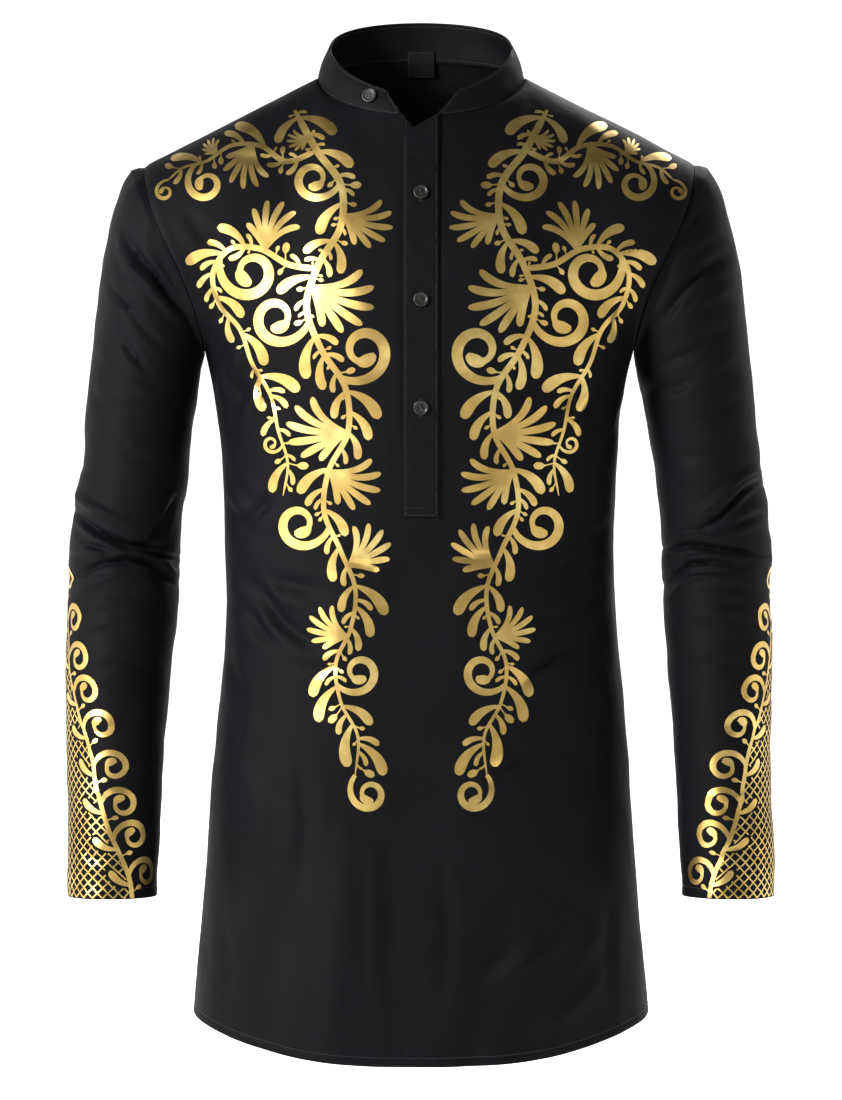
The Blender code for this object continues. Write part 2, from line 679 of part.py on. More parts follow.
def front_centre(x, z):
    """A point of the front panel beside its middle line, and the way out of it there."""
    def depth(height):
        ring = -body_size(np.minimum(height, ARMPIT_Z), "front")
        rise = np.clip((height - ARMPIT_Z) / (NECK_SIDE_Z - NECK_FRONT_DROP - ARMPIT_Z), 0, 1.2)
        neck_y = NECK_MIDDLE_Y - NECK_FRONT_REACH
        return ring + (neck_y - ring) * rise ** NECK_SLOPE_POWER[-1] - SEAM_GAP / 2
    step = 1 * MM
    slope = (depth(z + step) - depth(z - step)) / (2 * step)
    way = unit(np.stack([0 * z, -np.ones_like(z), slope], axis=-1))
    return np.stack([x, depth(z), z], axis=-1), way


def make_placket(name, half_width, lift, foot_z, top_slope, wall):
    """One side of the placket: a strip made from the front panel's points."""
    x = np.linspace(-half_width, half_width, PLACKET_COLUMNS)
    top = NECK_V_Z + (x - NECK_V_X) * top_slope
    up = np.linspace(0, 1, PLACKET_ROWS)[:, None]
    z = foot_z + (top - foot_z) * up
    base, way = front_centre(x + 0 * z, z)
    outer = base + way * (lift + wall)
    inner = base + way * lift
    return wall_mesh(name, outer, inner)


def make_button(name, place, way):
    """A flat button with a raised rim, its face turned along way."""
    profile = [
        (0.0, 0.0),
        (BUTTON_RADIUS * BUTTON_BACK_SHARE, 0.0),
        (BUTTON_RADIUS, BUTTON_THICKNESS * BUTTON_EDGE_LOW),
        (BUTTON_RADIUS, BUTTON_THICKNESS * BUTTON_EDGE_HIGH),
        (BUTTON_RADIUS - BUTTON_RIM * BUTTON_RIM_TOP, BUTTON_THICKNESS),
        (BUTTON_RADIUS - BUTTON_RIM, BUTTON_THICKNESS),
        (BUTTON_RADIUS - BUTTON_RIM * BUTTON_RIM_FOOT, BUTTON_THICKNESS - BUTTON_DISH),
        (0.0, BUTTON_THICKNESS - BUTTON_DISH),
    ]
    mesh = bmesh.new()
    rings = []
    for radius, height in profile:
        if radius == 0.0:
            rings.append([mesh.verts.new((0.0, 0.0, height))])
            continue
        rings.append([mesh.verts.new((radius * math.cos(a), radius * math.sin(a), height))
                      for a in np.arange(BUTTON_SIDES) / BUTTON_SIDES * 2 * math.pi])
    for low, high in zip(rings, rings[1:]):
        for j in range(BUTTON_SIDES):
            k = (j + 1) % BUTTON_SIDES
            if len(low) == 1:
                mesh.faces.new([low[0], high[k], high[j]])
            elif len(high) == 1:
                mesh.faces.new([low[j], low[k], high[0]])
            else:
                mesh.faces.new([low[j], low[k], high[k], high[j]])
    piece = finish_object(name, mesh)
    face = np.array(way) / np.linalg.norm(way)
    across = np.cross((0.0, 0.0, 1.0), face)
    across /= np.linalg.norm(across)
    rise = np.cross(face, across)
    turn = np.stack([across, rise, face], axis=1)
    for vertex in piece.data.vertices:
        vertex.co = turn @ np.array(vertex.co) + np.array(place)
    return piece


def make_label():
    """The bare neck label, inside the back of the neck."""
    x = np.linspace(-LABEL_HALF_WIDTH, LABEL_HALF_WIDTH, LABEL_POINTS)
    up = np.linspace(0, 1, LABEL_POINTS)[:, None]
    z = LABEL_BOTTOM_Z + (LABEL_TOP_Z - LABEL_BOTTOM_Z) * up + 0 * x
    clear = BAND_WALL + LAY_GAP + BAND_CHORD
    lean = LABEL_LEAN * np.maximum(NECK_SIDE_Z + NECK_BACK_RISE - z, 0)
    curve = (x / NECK_HALF_WIDTH) ** 2 * NECK_BACK_REACH / 2
    y = NECK_MIDDLE_Y + NECK_BACK_REACH - clear + lean - curve
    back = np.stack([x + 0 * z, y, z], axis=-1)
    front = back - np.array([0.0, LABEL_WALL, 0.0])
    return wall_mesh("neck_label", front, back)


def main():
    for thing in list(bpy.data.objects):
        bpy.data.objects.remove(thing)
    cloth = make_material("black_cloth", BLACK_CLOTH, 0.75)
    plastic = make_material("black_plastic", BLACK_BUTTON, 0.35)
    tape = make_material("label_tape", BLACK_LABEL, 0.6)

    pieces = [
        make_front(),
        make_back(),
        make_sleeve("sleeve_left", -1),
        make_sleeve("sleeve_right", 1),
        make_band(),
        make_placket("placket_over", PLACKET_HALF_WIDTH, PLACKET_LIFT, PLACKET_FOOT_Z,
                     OVER_TOP_SLOPE, PLACKET_WALL),
        make_placket("placket_under", SLOT_HALF_WIDTH - LAY_GAP, -WALL, SLOT_FOOT_Z + LAY_GAP,
                     UNDER_TOP_SLOPE, WALL - LAY_GAP * 0.5),
    ]
    for piece in pieces:
        piece.data.materials.append(cloth)

    buttons = []
    for name, height in PLACKET_BUTTONS.items():
        base, way = front_centre(np.array(0.0), np.array(height))
        place = base + way * (PLACKET_LIFT + PLACKET_WALL + LAY_GAP)
        buttons.append(make_button(name, place, way))
    points, _ = band_points(BAND_STEPS, BAND_ROWS)
    foot, top = points[1, 1], points[-2, 2]
    spot = (foot + top) / 2
    way = np.array(COLLAR_BUTTON_WAY)
    buttons.append(make_button("button_collar", spot + unit(way) * COLLAR_BUTTON_LIFT, way))
    for piece in buttons:
        piece.data.materials.append(plastic)
    make_label().data.materials.append(tape)


main()
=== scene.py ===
# %% [markdown]
# # A long black tunic shirt with a gold foil print
#
# The shirt is shown filled out, as if someone invisible wore it. It has a band collar, a half
# placket with three buttons, long set-in sleeves and a curved hem. The solids in the frame have
# its true form with thick walls. Here each panel is made again as thin cloth on the same form,
# with finer creases, hems, stitches, buttons and the print.

# %% Load the frame
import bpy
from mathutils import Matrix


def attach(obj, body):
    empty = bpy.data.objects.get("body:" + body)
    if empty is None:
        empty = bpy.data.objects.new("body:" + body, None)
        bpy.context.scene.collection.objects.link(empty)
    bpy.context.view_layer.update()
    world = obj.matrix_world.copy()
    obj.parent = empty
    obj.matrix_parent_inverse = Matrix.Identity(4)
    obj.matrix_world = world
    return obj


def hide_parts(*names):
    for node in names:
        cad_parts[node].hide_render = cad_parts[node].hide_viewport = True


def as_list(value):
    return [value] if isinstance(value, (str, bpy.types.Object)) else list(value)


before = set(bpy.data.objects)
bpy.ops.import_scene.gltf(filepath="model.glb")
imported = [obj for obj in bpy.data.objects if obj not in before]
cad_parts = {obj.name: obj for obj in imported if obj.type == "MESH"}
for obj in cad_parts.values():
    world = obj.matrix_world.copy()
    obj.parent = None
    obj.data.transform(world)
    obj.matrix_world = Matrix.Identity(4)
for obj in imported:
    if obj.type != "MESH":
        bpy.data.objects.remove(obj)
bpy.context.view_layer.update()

# %% Tools and units
import math

import bpy
import numpy as np
from mathutils import Vector
from mathutils.bvhtree import BVHTree

MM = 0.001
FULL_TURN = 2 * math.pi

# %% [markdown]
# ## Camera
#
# The shirt fills the height of an upright picture. A long lens from a little over three metres
# keeps the sleeves and the body at nearly one scale, as a studio photograph of clothes does.
# The camera is level, at the height of the waist, so it looks slightly up into the open collar.

# %% Camera
PICTURE_HEIGHT = 1100
SCALE_PER_PIXEL = 0.85 * MM
CAMERA_DISTANCE = 3.2
CAMERA_HEIGHT = -395 * MM
FILM = 36.0


def link(name, data):
    """Puts an object with this data in the scene."""
    thing = bpy.data.objects.new(name, data)
    bpy.context.scene.collection.objects.link(thing)
    return thing


camera_data = bpy.data.cameras.new("studio_camera")
camera_data.sensor_fit = "AUTO"
camera_data.sensor_width = FILM
camera_data.lens = FILM * CAMERA_DISTANCE / (PICTURE_HEIGHT * SCALE_PER_PIXEL)
camera = link("studio_camera", camera_data)
camera.location = (0.0, -CAMERA_DISTANCE, CAMERA_HEIGHT)
camera.rotation_euler = (math.radians(90), 0.0, 0.0)
bpy.context.scene.camera = camera
print("lens", round(camera_data.lens, 1), "mm")

# %% [markdown]
# ## Studio
#
# Black cloth shows its folds only by soft sheen, so the light comes from large lamps: a key
# from the upper left, a weaker fill from the right, a strip on each side for the edges of the
# sleeves and a lamp for the back. The stage is a wide round bowl, so every view has a pale
# floor that runs up into a pale wall in one curve, and no line shows behind the shirt.

# %% Floor and lamps
FLOOR_Z = -0.96
BOWL_RADIUS = 5.4
SWEEP_RADIUS = 1.0
BOWL_TOP = 4.5
BOWL_SIDES = 64


def grid_faces(rows, columns, closed):
    """The faces between the numbered points of a grid, by row and column."""
    number = np.arange(rows * columns).reshape(rows, columns)
    right = np.roll(number, -1, axis=1)
    faces = np.stack([number[:-1], right[:-1], right[1:], number[1:]], axis=-1)
    return faces if closed else faces[:, :-1]


def make_stage():
    """The floor, the sweep and the wall, as one profile turned about the upright axis."""
    turns = np.linspace(0, math.pi / 2, 17)
    flat = BOWL_RADIUS - SWEEP_RADIUS
    reaches = [0.01, flat / 2, *(flat + SWEEP_RADIUS * np.sin(turns)), BOWL_RADIUS]
    heights = [FLOOR_Z, FLOOR_Z, *(FLOOR_Z + SWEEP_RADIUS * (1 - np.cos(turns))), BOWL_TOP]
    around = np.arange(BOWL_SIDES) / BOWL_SIDES * FULL_TURN
    points = [(reach * math.cos(t), reach * math.sin(t), height)
              for reach, height in zip(reaches, heights) for t in around]
    faces = grid_faces(len(reaches), BOWL_SIDES, closed=True).reshape(-1, 4)[:, ::-1]
    mesh = bpy.data.meshes.new("studio_floor")
    mesh.from_pydata(points, [], faces.tolist() + [list(range(BOWL_SIDES))])
    mesh.shade_smooth()
    return link("studio_floor", mesh)


def make_lamp(name, place, target, size, power):
    """A rectangular area lamp that faces its target."""
    data = bpy.data.lights.new(name, "AREA")
    data.shape = "RECTANGLE"
    data.size, data.size_y = size
    data.energy = power
    lamp = link(name, data)
    lamp.location = place
    lamp.rotation_euler = (Vector(target) - Vector(place)).to_track_quat("-Z", "Y").to_euler()
    return lamp


stage = make_stage()
CHEST = (0.0, 0.0, -0.30)
# Place, target, size and power of each lamp, in metres and watts.
LAMPS = {
    "key": ((-2.3, -1.8, 0.7), CHEST, (0.9, 0.9), 140.0),
    "fill": ((2.4, -2.0, 0.1), CHEST, (1.0, 1.6), 6.0),
    "left_strip": ((-1.6, -0.3, -0.3), (0.0, 0.0, -0.4), (0.25, 1.8), 2.0),
    "right_strip": ((1.7, -0.2, -0.2), (0.0, 0.0, -0.4), (0.25, 1.8), 2.0),
    "back": ((1.2, 2.8, 2.2), CHEST, (1.4, 1.4), 90.0),
}
for lamp_name, settings in LAMPS.items():
    make_lamp(lamp_name, *settings)
world = bpy.data.worlds.new("studio_air")
world.use_nodes = True
air = world.node_tree.nodes["Background"].inputs
air["Color"].default_value = (0.95, 0.97, 1.0, 1.0)
air["Strength"].default_value = 0.08
bpy.context.scene.world = world
bpy.context.scene.view_settings.view_transform = "Standard"
print(len(LAMPS), "lamps")

# %% [markdown]
# ## Writing materials as sums
#
# A material is a graph of nodes. The class below wraps a socket, so that a line such as
# `0.6 + slubs * 0.1` adds the Math nodes that work it out. The graph has one method for every
# other node: it takes the node's type, its settings and the values or links of its sockets.

# %% Sockets that can be added and multiplied
class Value:
    """A number that a node gives; sums with it add Math nodes."""

    def __init__(self, graph, socket):
        self.graph, self.socket = graph, socket

    def _sum(self, operation, first, second):
        return self.graph.node("ShaderNodeMath", {"operation": operation}, {0: first, 1: second})

    def __add__(self, other):
        return self._sum("ADD", self, other)

    def __mul__(self, other):
        return self._sum("MULTIPLY", self, other)

    __radd__ = __add__
    __rmul__ = __mul__


class Graph:
    """A material's nodes."""

    def __init__(self, name, **fixed):
        self.material = bpy.data.materials.new(name)
        self.material.use_nodes = True
        self.tree = self.material.node_tree
        self.shader = self.tree.nodes["Principled BSDF"]
        for socket, value in fixed.items():
            self.shader.inputs[socket.replace("_", " ")].default_value = value

    def feed(self, target, value):
        """Sets a socket to a number or colour, or links it."""
        if isinstance(value, Value):
            self.tree.links.new(value.socket, target)
        else:
            target.default_value = value

    def node(self, kind, settings=None, sockets=None, output=0):
        """Any node: its settings first, then its sockets by name or place."""
        made = self.tree.nodes.new(kind)
        for setting, value in (settings or {}).items():
            if setting == "stops":
                for place, (position, colour) in enumerate(value):
                    stops = made.color_ramp.elements
                    stop = stops[place] if place < 2 else stops.new(position)
                    stop.position, stop.color = position, colour
            else:
                setattr(made, setting, value)
        for socket, value in (sockets or {}).items():
            self.feed(made.inputs[socket], value)
        return Value(self, made.outputs[output])

    def place(self):
        """Where a point of the surface is, in the object's own coordinates."""
        return self.node("ShaderNodeTexCoord", output=3)

    def axis(self, place, number):
        """One coordinate of a place: 0 for across, 1 for depth and 2 for height."""
        return self.node("ShaderNodeSeparateXYZ", None, {0: place}, number)

    def noise(self, place, scale, detail=3.0, roughness=0.55):
        """Soft random cloudiness from 0 to 1."""
        sockets = {"Vector": place, "Scale": scale, "Detail": detail, "Roughness": roughness}
        return self.node("ShaderNodeTexNoise", None, sockets)

    def ramp(self, value, stops):
        """Colours read along a value."""
        return self.node("ShaderNodeValToRGB", {"stops": stops}, {"Fac": value})

    def finish(self, **links):
        """Feeds the shader and gives the material back."""
        for socket, value in links.items():
            self.feed(self.shader.inputs[socket.replace("_", " ")], value)
        return self.material


# %% [markdown]
# ## Floor, cloth, foil, plastic and thread
#
# The cloth is a fine plain-woven cotton blend, dyed black with a breath of blue. Its threads are
# finer than a pixel of the picture, so the weave is a bump with slubs that are a little coarser.
# The foil is metal film pressed on the cloth. It shows the cloth's grain. Its colour runs in soft
# random patches from a deep amber to a pale yellow: partly the foil's own uneven tone and partly
# painted highlight, pale patches that stand for where it catches the light.

# %% Floor material
# The stage glows behind the shirt, as a backdrop that is lit on its own does, and little in
# front of it. Its wall is greyer than its floor, so it throws little light back on the cloth.
floor = Graph("pale_floor", Roughness=0.8, Emission_Strength=1.0)
floor_place = floor.place()
floor_mottle = floor.noise(floor_place, 1.2, 2.0)
floor_depth = floor.axis(floor_place, 1)
floor_height = floor.axis(floor_place, 2)
floor_colour = floor.ramp(floor_height + 0.94 + floor_mottle * 0.04, [
    (0.0, (0.86, 0.86, 0.86, 1)), (0.25, (0.22, 0.22, 0.223, 1))])
floor_glow = floor.ramp(floor_depth * 0.2 + 0.8, [
    (0.60, (0.11, 0.11, 0.113, 1)), (0.92, (1.0, 1.0, 1.0, 1))])
stage.data.materials.append(floor.finish(Base_Color=floor_colour, Emission_Color=floor_glow))
floor.material.cycles.emission_sampling = "NONE"

# %% Cloth material
THREADS_PER_METRE = 2600.0


def make_cloth(name, dark, light, weave_depth):
    """Plain weave: two families of threads, slubs and soft patches of shade."""
    cloth = Graph(name, Metallic=0.0, Sheen_Weight=0.006, Sheen_Roughness=0.35,
                  Specular_IOR_Level=0.07)
    place = cloth.place()
    x, y, z = (cloth.axis(place, number) for number in range(3))
    sine = {"operation": "SINE"}
    warp = cloth.node("ShaderNodeMath", sine, {0: (x + y * 0.8) * THREADS_PER_METRE})
    weft = cloth.node("ShaderNodeMath", sine, {0: z * THREADS_PER_METRE})
    slubs = cloth.noise(place, 900.0, 2.0)
    drawn_out = cloth.node("ShaderNodeVectorMath", {"operation": "MULTIPLY"},
                           {0: place, 1: (1.0, 1.0, 0.15)})
    streaks = cloth.noise(drawn_out, 420.0, 2.0)
    patches = cloth.noise(place, 9.0, 4.0)
    shade = patches * 0.55 + slubs * 0.25 + streaks * 0.20
    weave = warp * weft * 0.25 + slubs * 0.6 + streaks * 0.4
    bump = cloth.node("ShaderNodeBump", None,
                      {"Strength": 0.55, "Distance": weave_depth, "Height": weave})
    return cloth.finish(
        Base_Color=cloth.ramp(shade, [(0.30, dark), (0.70, light)]),
        Roughness=0.58 + slubs * 0.14, Normal=bump)


black_cloth = make_cloth("black_poplin", (0.0026, 0.0026, 0.0036, 1), (0.0056, 0.0056, 0.0072, 1),
                         weave_depth=0.16 * MM)
black_tape = make_cloth("black_tape", (0.005, 0.005, 0.006, 1), (0.010, 0.010, 0.011, 1),
                        weave_depth=0.25 * MM)

# %% Foil material
foil = Graph("gold_foil", Metallic=1.0)
foil_place = foil.place()
# Soft clouds about five centimetres across. They set part of the foil's roughness and most of its
# colour, which is partly the foil's own uneven tone and partly painted highlight.
foil_tone_and_highlight_clouds = foil.noise(foil_place, 22.0, 3.0)
foil_grain = foil.noise(foil_place, 800.0, 2.0)
foil_creases = foil.noise(foil_place, 120.0, 4.0, 0.65)
# Deep amber to pale yellow over the clouds and the crinkles: partly the foil's own tone, partly
# painted highlight, pale where light would catch the foil.
foil_tone_and_painted_highlight = foil.ramp(foil_tone_and_highlight_clouds * 0.75 + foil_creases * 0.25, [
    (0.30, (0.50, 0.33, 0.09, 1)), (0.50, (0.68, 0.47, 0.145, 1)), (0.64, (0.86, 0.67, 0.25, 1))])
foil_bump = foil.node("ShaderNodeBump", None, {
    "Strength": 0.5, "Distance": 0.25 * MM, "Height": foil_grain * 0.5 + foil_creases})
foil_roughness = 0.26 + foil_tone_and_highlight_clouds * 0.16 + foil_grain * 0.08
gold_foil = foil.finish(Base_Color=foil_tone_and_painted_highlight, Roughness=foil_roughness, Normal=foil_bump)

# %% Button and thread materials
plastic = Graph("black_button_plastic", Coat_Weight=0.25, Coat_Roughness=0.28,
                Specular_IOR_Level=0.4)
plastic_swirl = plastic.noise(plastic.place(), 260.0, 3.0)
plastic_colour = plastic.ramp(plastic_swirl, [
    (0.3, (0.004, 0.004, 0.004, 1)), (0.8, (0.022, 0.017, 0.011, 1))])
button_plastic = plastic.finish(Base_Color=plastic_colour, Roughness=0.34 + plastic_swirl * 0.15)
thread = Graph("black_thread", Sheen_Weight=0.08)
thread_twist = thread.noise(thread.place(), 2400.0, 1.0)
thread_colour = thread.ramp(thread_twist, [
    (0.2, (0.010, 0.010, 0.012, 1)), (0.8, (0.028, 0.028, 0.032, 1))])
black_thread = thread.finish(Base_Color=thread_colour, Roughness=0.45 + thread_twist * 0.2)
print("materials", len(bpy.data.materials))

# %% [markdown]
# ## The form of the shirt
#
# Every panel is a grid of points. Across it 0 is the middle and 1 the side edge, and up it 0 is
# the hem, 1 the armpit and 2 the top edge. The grid is worked out from sizes that a tailor could
# measure, the same ones that the solids have, so the cloth lies on them. Here the grids are finer.

# %% Sizes of the body, the neck and the shoulders
WALL = 1.6 * MM
BAND_WALL = 2.0 * MM
SEAM_GAP = 0.4 * MM
LAY_GAP = 0.3 * MM
PLACKET_LIFT = 0.6 * MM
ARMPIT_Z = -227 * MM
HEM_CENTRE_Z = -819 * MM
HEM_SIDE_RISE = 32 * MM
HEM_CURVE = 2.4
SECTION_POWER = 2.3
NECK_HALF_WIDTH = 88 * MM
NECK_MIDDLE_Y = 2 * MM
NECK_FRONT_REACH = 75 * MM
NECK_BACK_REACH = 66 * MM
NECK_SIDE_Z = 6 * MM
NECK_FRONT_DROP = 40 * MM
NECK_BACK_RISE = 22 * MM
NECK_SIDE_ROUNDNESS = {-1: 0.45, 1: 1.0}
SHOULDER_POWER = {-1: 2.2, 1: 2.6}
NECK_SLOPE_POWER = {-1: 1.8, 1: 2.8}
SHOULDER_POINTS = {-1: (-235 * MM, 5 * MM, -69 * MM), 1: (232 * MM, 5 * MM, -67 * MM)}
ARMPIT_POINTS = {-1: (-183 * MM, 0.0, ARMPIT_Z), 1: (180 * MM, 0.0, ARMPIT_Z)}
ARMHOLE_HALF_DEPTH = 74 * MM
ARMHOLE_SWAY = 4 * MM
ARMHOLE_PULL = 2.0
PLACKET_HALF_WIDTH = 14.5 * MM
SLOT_HALF_WIDTH = 13.5 * MM
PLACKET_FOOT_Z = -368 * MM
SLOT_FOOT_Z = -365 * MM
SLOT_SHARE = 0.05
NECK_SHARE = 0.42

# Sections of the body below the armpits, in millimetres.
BODY_COLUMNS = ("z", "left", "right", "front", "back")
BODY_SECTIONS = [
    (-825, 193.0, 193.0, 116, 112),
    (-778, 192.5, 192.5, 116, 112),
    (-727, 188.3, 187.4, 114, 110),
    (-659, 182.3, 181.5, 112, 107),
    (-591, 178.0, 177.2, 110, 103),
    (-523, 170.4, 172.0, 107, 98),
    (-455, 165.3, 166.2, 105, 92),
    (-387, 166.0, 163.6, 105, 90),
    (-319, 168.7, 166.0, 110, 96),
    (-268, 174.7, 170.4, 115, 102),
    (-251, 177.4, 173.6, 116, 104),
    (-227, 183.0, 180.0, 118, 106),
]
print("body sections from", BODY_SECTIONS[0][0], "to", BODY_SECTIONS[-1][0], "mm")

# %% Reading smooth curves and surfaces


def column(rows, names, name):
    """One named column of a table, as an array."""
    place = names.index(name)
    return np.array([row[place] for row in rows], dtype=float)


def smooth_read(at, knots, values):
    """Values read from a smooth curve through a table's points."""
    slopes = np.gradient(values, knots)
    index = np.clip(np.searchsorted(knots, at, side="right") - 1, 0, len(knots) - 2)
    step = knots[index + 1] - knots[index]
    u = (at - knots[index]) / step
    start = values[index] * (1 + 2 * u) + slopes[index] * step * u
    end = values[index + 1] * (3 - 2 * u) + slopes[index + 1] * step * (u - 1)
    return start * (1 - u) ** 2 + end * u ** 2


def body_size(z, name):
    """A size of the body at height z, from the table of sections."""
    return MM * smooth_read(z / MM, column(BODY_SECTIONS, BODY_COLUMNS, "z"),
                            column(BODY_SECTIONS, BODY_COLUMNS, name))


def unit(vectors):
    """Vectors scaled to length one."""
    length = np.linalg.norm(vectors, axis=-1, keepdims=True)
    return vectors / np.maximum(length, 1e-12)


def outward_normals(points, closed):
    """Normals of a grid, where rows run up and columns run to the right or around."""
    up = np.gradient(points, axis=0)
    if closed:
        wrapped = np.concatenate([points[:, -1:], points, points[:, :1]], axis=1)
        along = np.gradient(wrapped, axis=1)[:, 1:-1]
    else:
        along = np.gradient(points, axis=1)
    return unit(np.cross(along, up))


def fade(distance, reach):
    """Rises softly from nothing at an edge to one at the given reach."""
    u = np.clip(distance / reach, 0, 1)
    return u * u * (3 - 2 * u)


def groove(distance, width):
    """A soft groove's depth beside its line, from one on the line to nothing."""
    return np.exp(-(distance / width) ** 2)


# %% Armholes and the neckline


def armhole_point(side, share, facing):
    """A point of the armhole seam: share 0 at the armpit, 1 at the shoulder."""
    low = np.array(ARMPIT_POINTS[side])
    high = np.array(SHOULDER_POINTS[side])
    turn = math.pi * share
    rise = (1 - np.cos(turn)) / 2
    points = low + (high - low) * rise[..., None]
    points[..., 1] += facing * ARMHOLE_HALF_DEPTH * np.sin(turn)
    points[..., 0] -= side * ARMHOLE_SWAY * np.sin(2 * math.pi * rise)
    return points


def armhole_outward(side):
    """The way out of the armhole's plane, away from the body."""
    line = np.array(SHOULDER_POINTS[side]) - np.array(ARMPIT_POINTS[side])
    across = np.array([side * line[2], 0.0, -side * line[0]])
    return across / np.linalg.norm(across) * np.sign(across[0] * side)


def armhole_inward(side, points, rise, tilt):
    """The way from the armhole's outer edge to its inner edge."""
    middle = (np.array(SHOULDER_POINTS[side]) + np.array(ARMPIT_POINTS[side])) / 2
    low = (1 - rise)[..., None] ** 2
    return unit(unit(middle - points) + tilt * low * armhole_outward(side))


def neck_ring(turn):
    """A point at the foot of the collar: turn 0 is the front, pi the back, by the right."""
    reach = np.where(np.cos(turn) > 0, NECK_FRONT_REACH, NECK_BACK_REACH)
    lift = np.where(np.cos(turn) > 0, NECK_FRONT_DROP, NECK_BACK_RISE)
    return np.stack([
        NECK_HALF_WIDTH * np.sin(turn),
        NECK_MIDDLE_Y - reach * np.cos(turn),
        NECK_SIDE_Z - lift * np.cos(turn),
    ], axis=-1)


def neck_inward(turn):
    """The way from the neck seam's outer edge to its inner edge, in the seam's own plane."""
    return unit(np.array([0.0, NECK_MIDDLE_Y, NECK_SIDE_Z]) - neck_ring(turn))


neck_steps = np.diff(neck_ring(np.linspace(0, FULL_TURN, 181)), axis=0)
print("neck seam", round(np.linalg.norm(neck_steps, axis=1).sum() / MM), "mm round")

# %% The two body panels


def body_ring(share, side, z, facing):
    """Points of the body's section at height z, share 0 at the middle and 1 at the side."""
    width = np.where(side < 0, body_size(z, "left"), body_size(z, "right"))
    depth = body_size(z, "front" if facing < 0 else "back")
    beyond = np.clip((share - SLOT_SHARE) / (1 - SLOT_SHARE), 0, 1)
    inside = np.minimum(share / SLOT_SHARE, 1) * SLOT_HALF_WIDTH
    x = inside + (width - SLOT_HALF_WIDTH) * np.sin(beyond * math.pi / 2)
    flat = np.clip(1 - (x / width) ** SECTION_POWER, 0, 1)
    return np.stack([side * x, facing * depth * flat ** (1 / SECTION_POWER), z], axis=-1)


def top_edge(share, side, facing):
    """The neckline and then the shoulder seam of a panel, and how round it turns over there."""
    start = math.asin(SLOT_HALF_WIDTH / NECK_HALF_WIDTH)
    along = np.clip((share - SLOT_SHARE) / (NECK_SHARE - SLOT_SHARE), 0, 1)
    angle = np.where(share < SLOT_SHARE, start * share / SLOT_SHARE,
                     start + (math.pi / 2 - start) * along)
    turn = angle if facing < 0 else math.pi - angle
    neck = neck_ring(turn)
    neck[..., 0] *= side
    out = np.clip((share - NECK_SHARE) / (1 - NECK_SHARE), 0, 1)
    ends = np.where(side[..., None] < 0, SHOULDER_POINTS[-1], SHOULDER_POINTS[1])
    beside_neck = NECK_SIDE_ROUNDNESS[facing]
    roundness = beside_neck * np.sin(angle) ** 2 + (1 - beside_neck) * fade(out, 0.8)
    return neck + (ends - neck) * out[..., None], roundness


def panel_surface(facing, across, up):
    """Outer points of the front (facing -1) or the back (facing 1), before any fold."""
    grid_across, grid_up = np.meshgrid(across, up)
    share = np.abs(grid_across)
    side = np.where(grid_across < 0, -1.0, 1.0)
    below = np.minimum(grid_up, 1)
    reach = np.sin(np.clip((share - SLOT_SHARE) / (1 - SLOT_SHARE), 0, 1) * math.pi / 2)
    hem = HEM_CENTRE_Z + HEM_SIDE_RISE * reach ** HEM_CURVE
    points = body_ring(share, side, hem + (ARMPIT_Z - hem) * below, facing)

    turn = (np.maximum(grid_up, 1) - 1) * math.pi / 2
    rise = np.sin(turn)
    top, shoulder = top_edge(share, side, facing)
    upper = points + (top - points) * rise[..., None]
    power = SHOULDER_POWER[facing]
    round_share = np.clip(1 - rise ** power, 0, 1) ** (1 / power)
    over_shoulder = top[..., 1] + (points[..., 1] - top[..., 1]) * round_share
    to_neck = points[..., 1] + (top[..., 1] - points[..., 1]) * rise ** NECK_SLOPE_POWER[facing]
    upper[..., 1] = shoulder * over_shoulder + (1 - shoulder) * to_neck

    over = up >= 1
    for which in (-1, 1):
        low, high = np.array(ARMPIT_POINTS[which]), np.array(SHOULDER_POINTS[which])
        straight = low + (high - low) * np.sin((up[over] - 1) * math.pi / 2)[:, None]
        shift = (armhole_point(which, up[over] - 1, facing) - straight)[:, None, :]
        weight = np.clip(across * which, 0, 1)[None, :, None] ** ARMHOLE_PULL
        upper[over] += shift * weight
    return np.where(grid_up[..., None] > 1, upper, points)


# %% [markdown]
# ## Folds
#
# Light cotton shows where it hangs, where it bends and where it is pulled. Three sets of folds
# make that here. The large ones are those of the solids. The fine creases are drawn as
# short lines with a width and a height: a trough with a soft lip on each side, which is how
# cloth buckles. Last come shallow waves without any line, for the hang of the cloth between.
# A slow wander bends every line a little, so that none is ruled straight.

# %% Large folds, the same as in the solids
# Two ends across and up, half width, and height, in millimetres; a trough has less than nothing.
FRONT_FOLDS = [
    (-150, -236, -164, -266, 10, 4.0),
    (-146, -248, -158, -286, 10, -4.0),
    (-133, -262, -149, -296, 10, 4.0),
    (-157, -346, -129, -370, 11, 3.5),
    (-124, -350, -149, -377, 10, -4.0),
    (-146, -420, -118, -452, 12, -5.0),
    (-118, -452, -88, -471, 12, -5.0),
    (-154, -440, -133, -466, 10, -4.0),
    (-125, -418, -82, -430, 11, -3.5),
    (148, -238, 126, -290, 13, 3.5),
    (156, -262, 140, -310, 12, -3.5),
    (151, -390, 112, -420, 14, -3.5),
    (118, -478, 82, -504, 15, -3.5),
    (112, -553, 56, -585, 17, -3.5),
    (112, -718, 34, -762, 22, 4.5),
    (140, -752, 106, -800, 16, 4.0),
    (70, -700, 40, -815, 18, -4.0),
    (-60, -640, -72, -815, 24, 4.5),
    (-112, -660, -128, -810, 22, -4.5),
    (-20, -690, -14, -815, 20, -3.5),
]
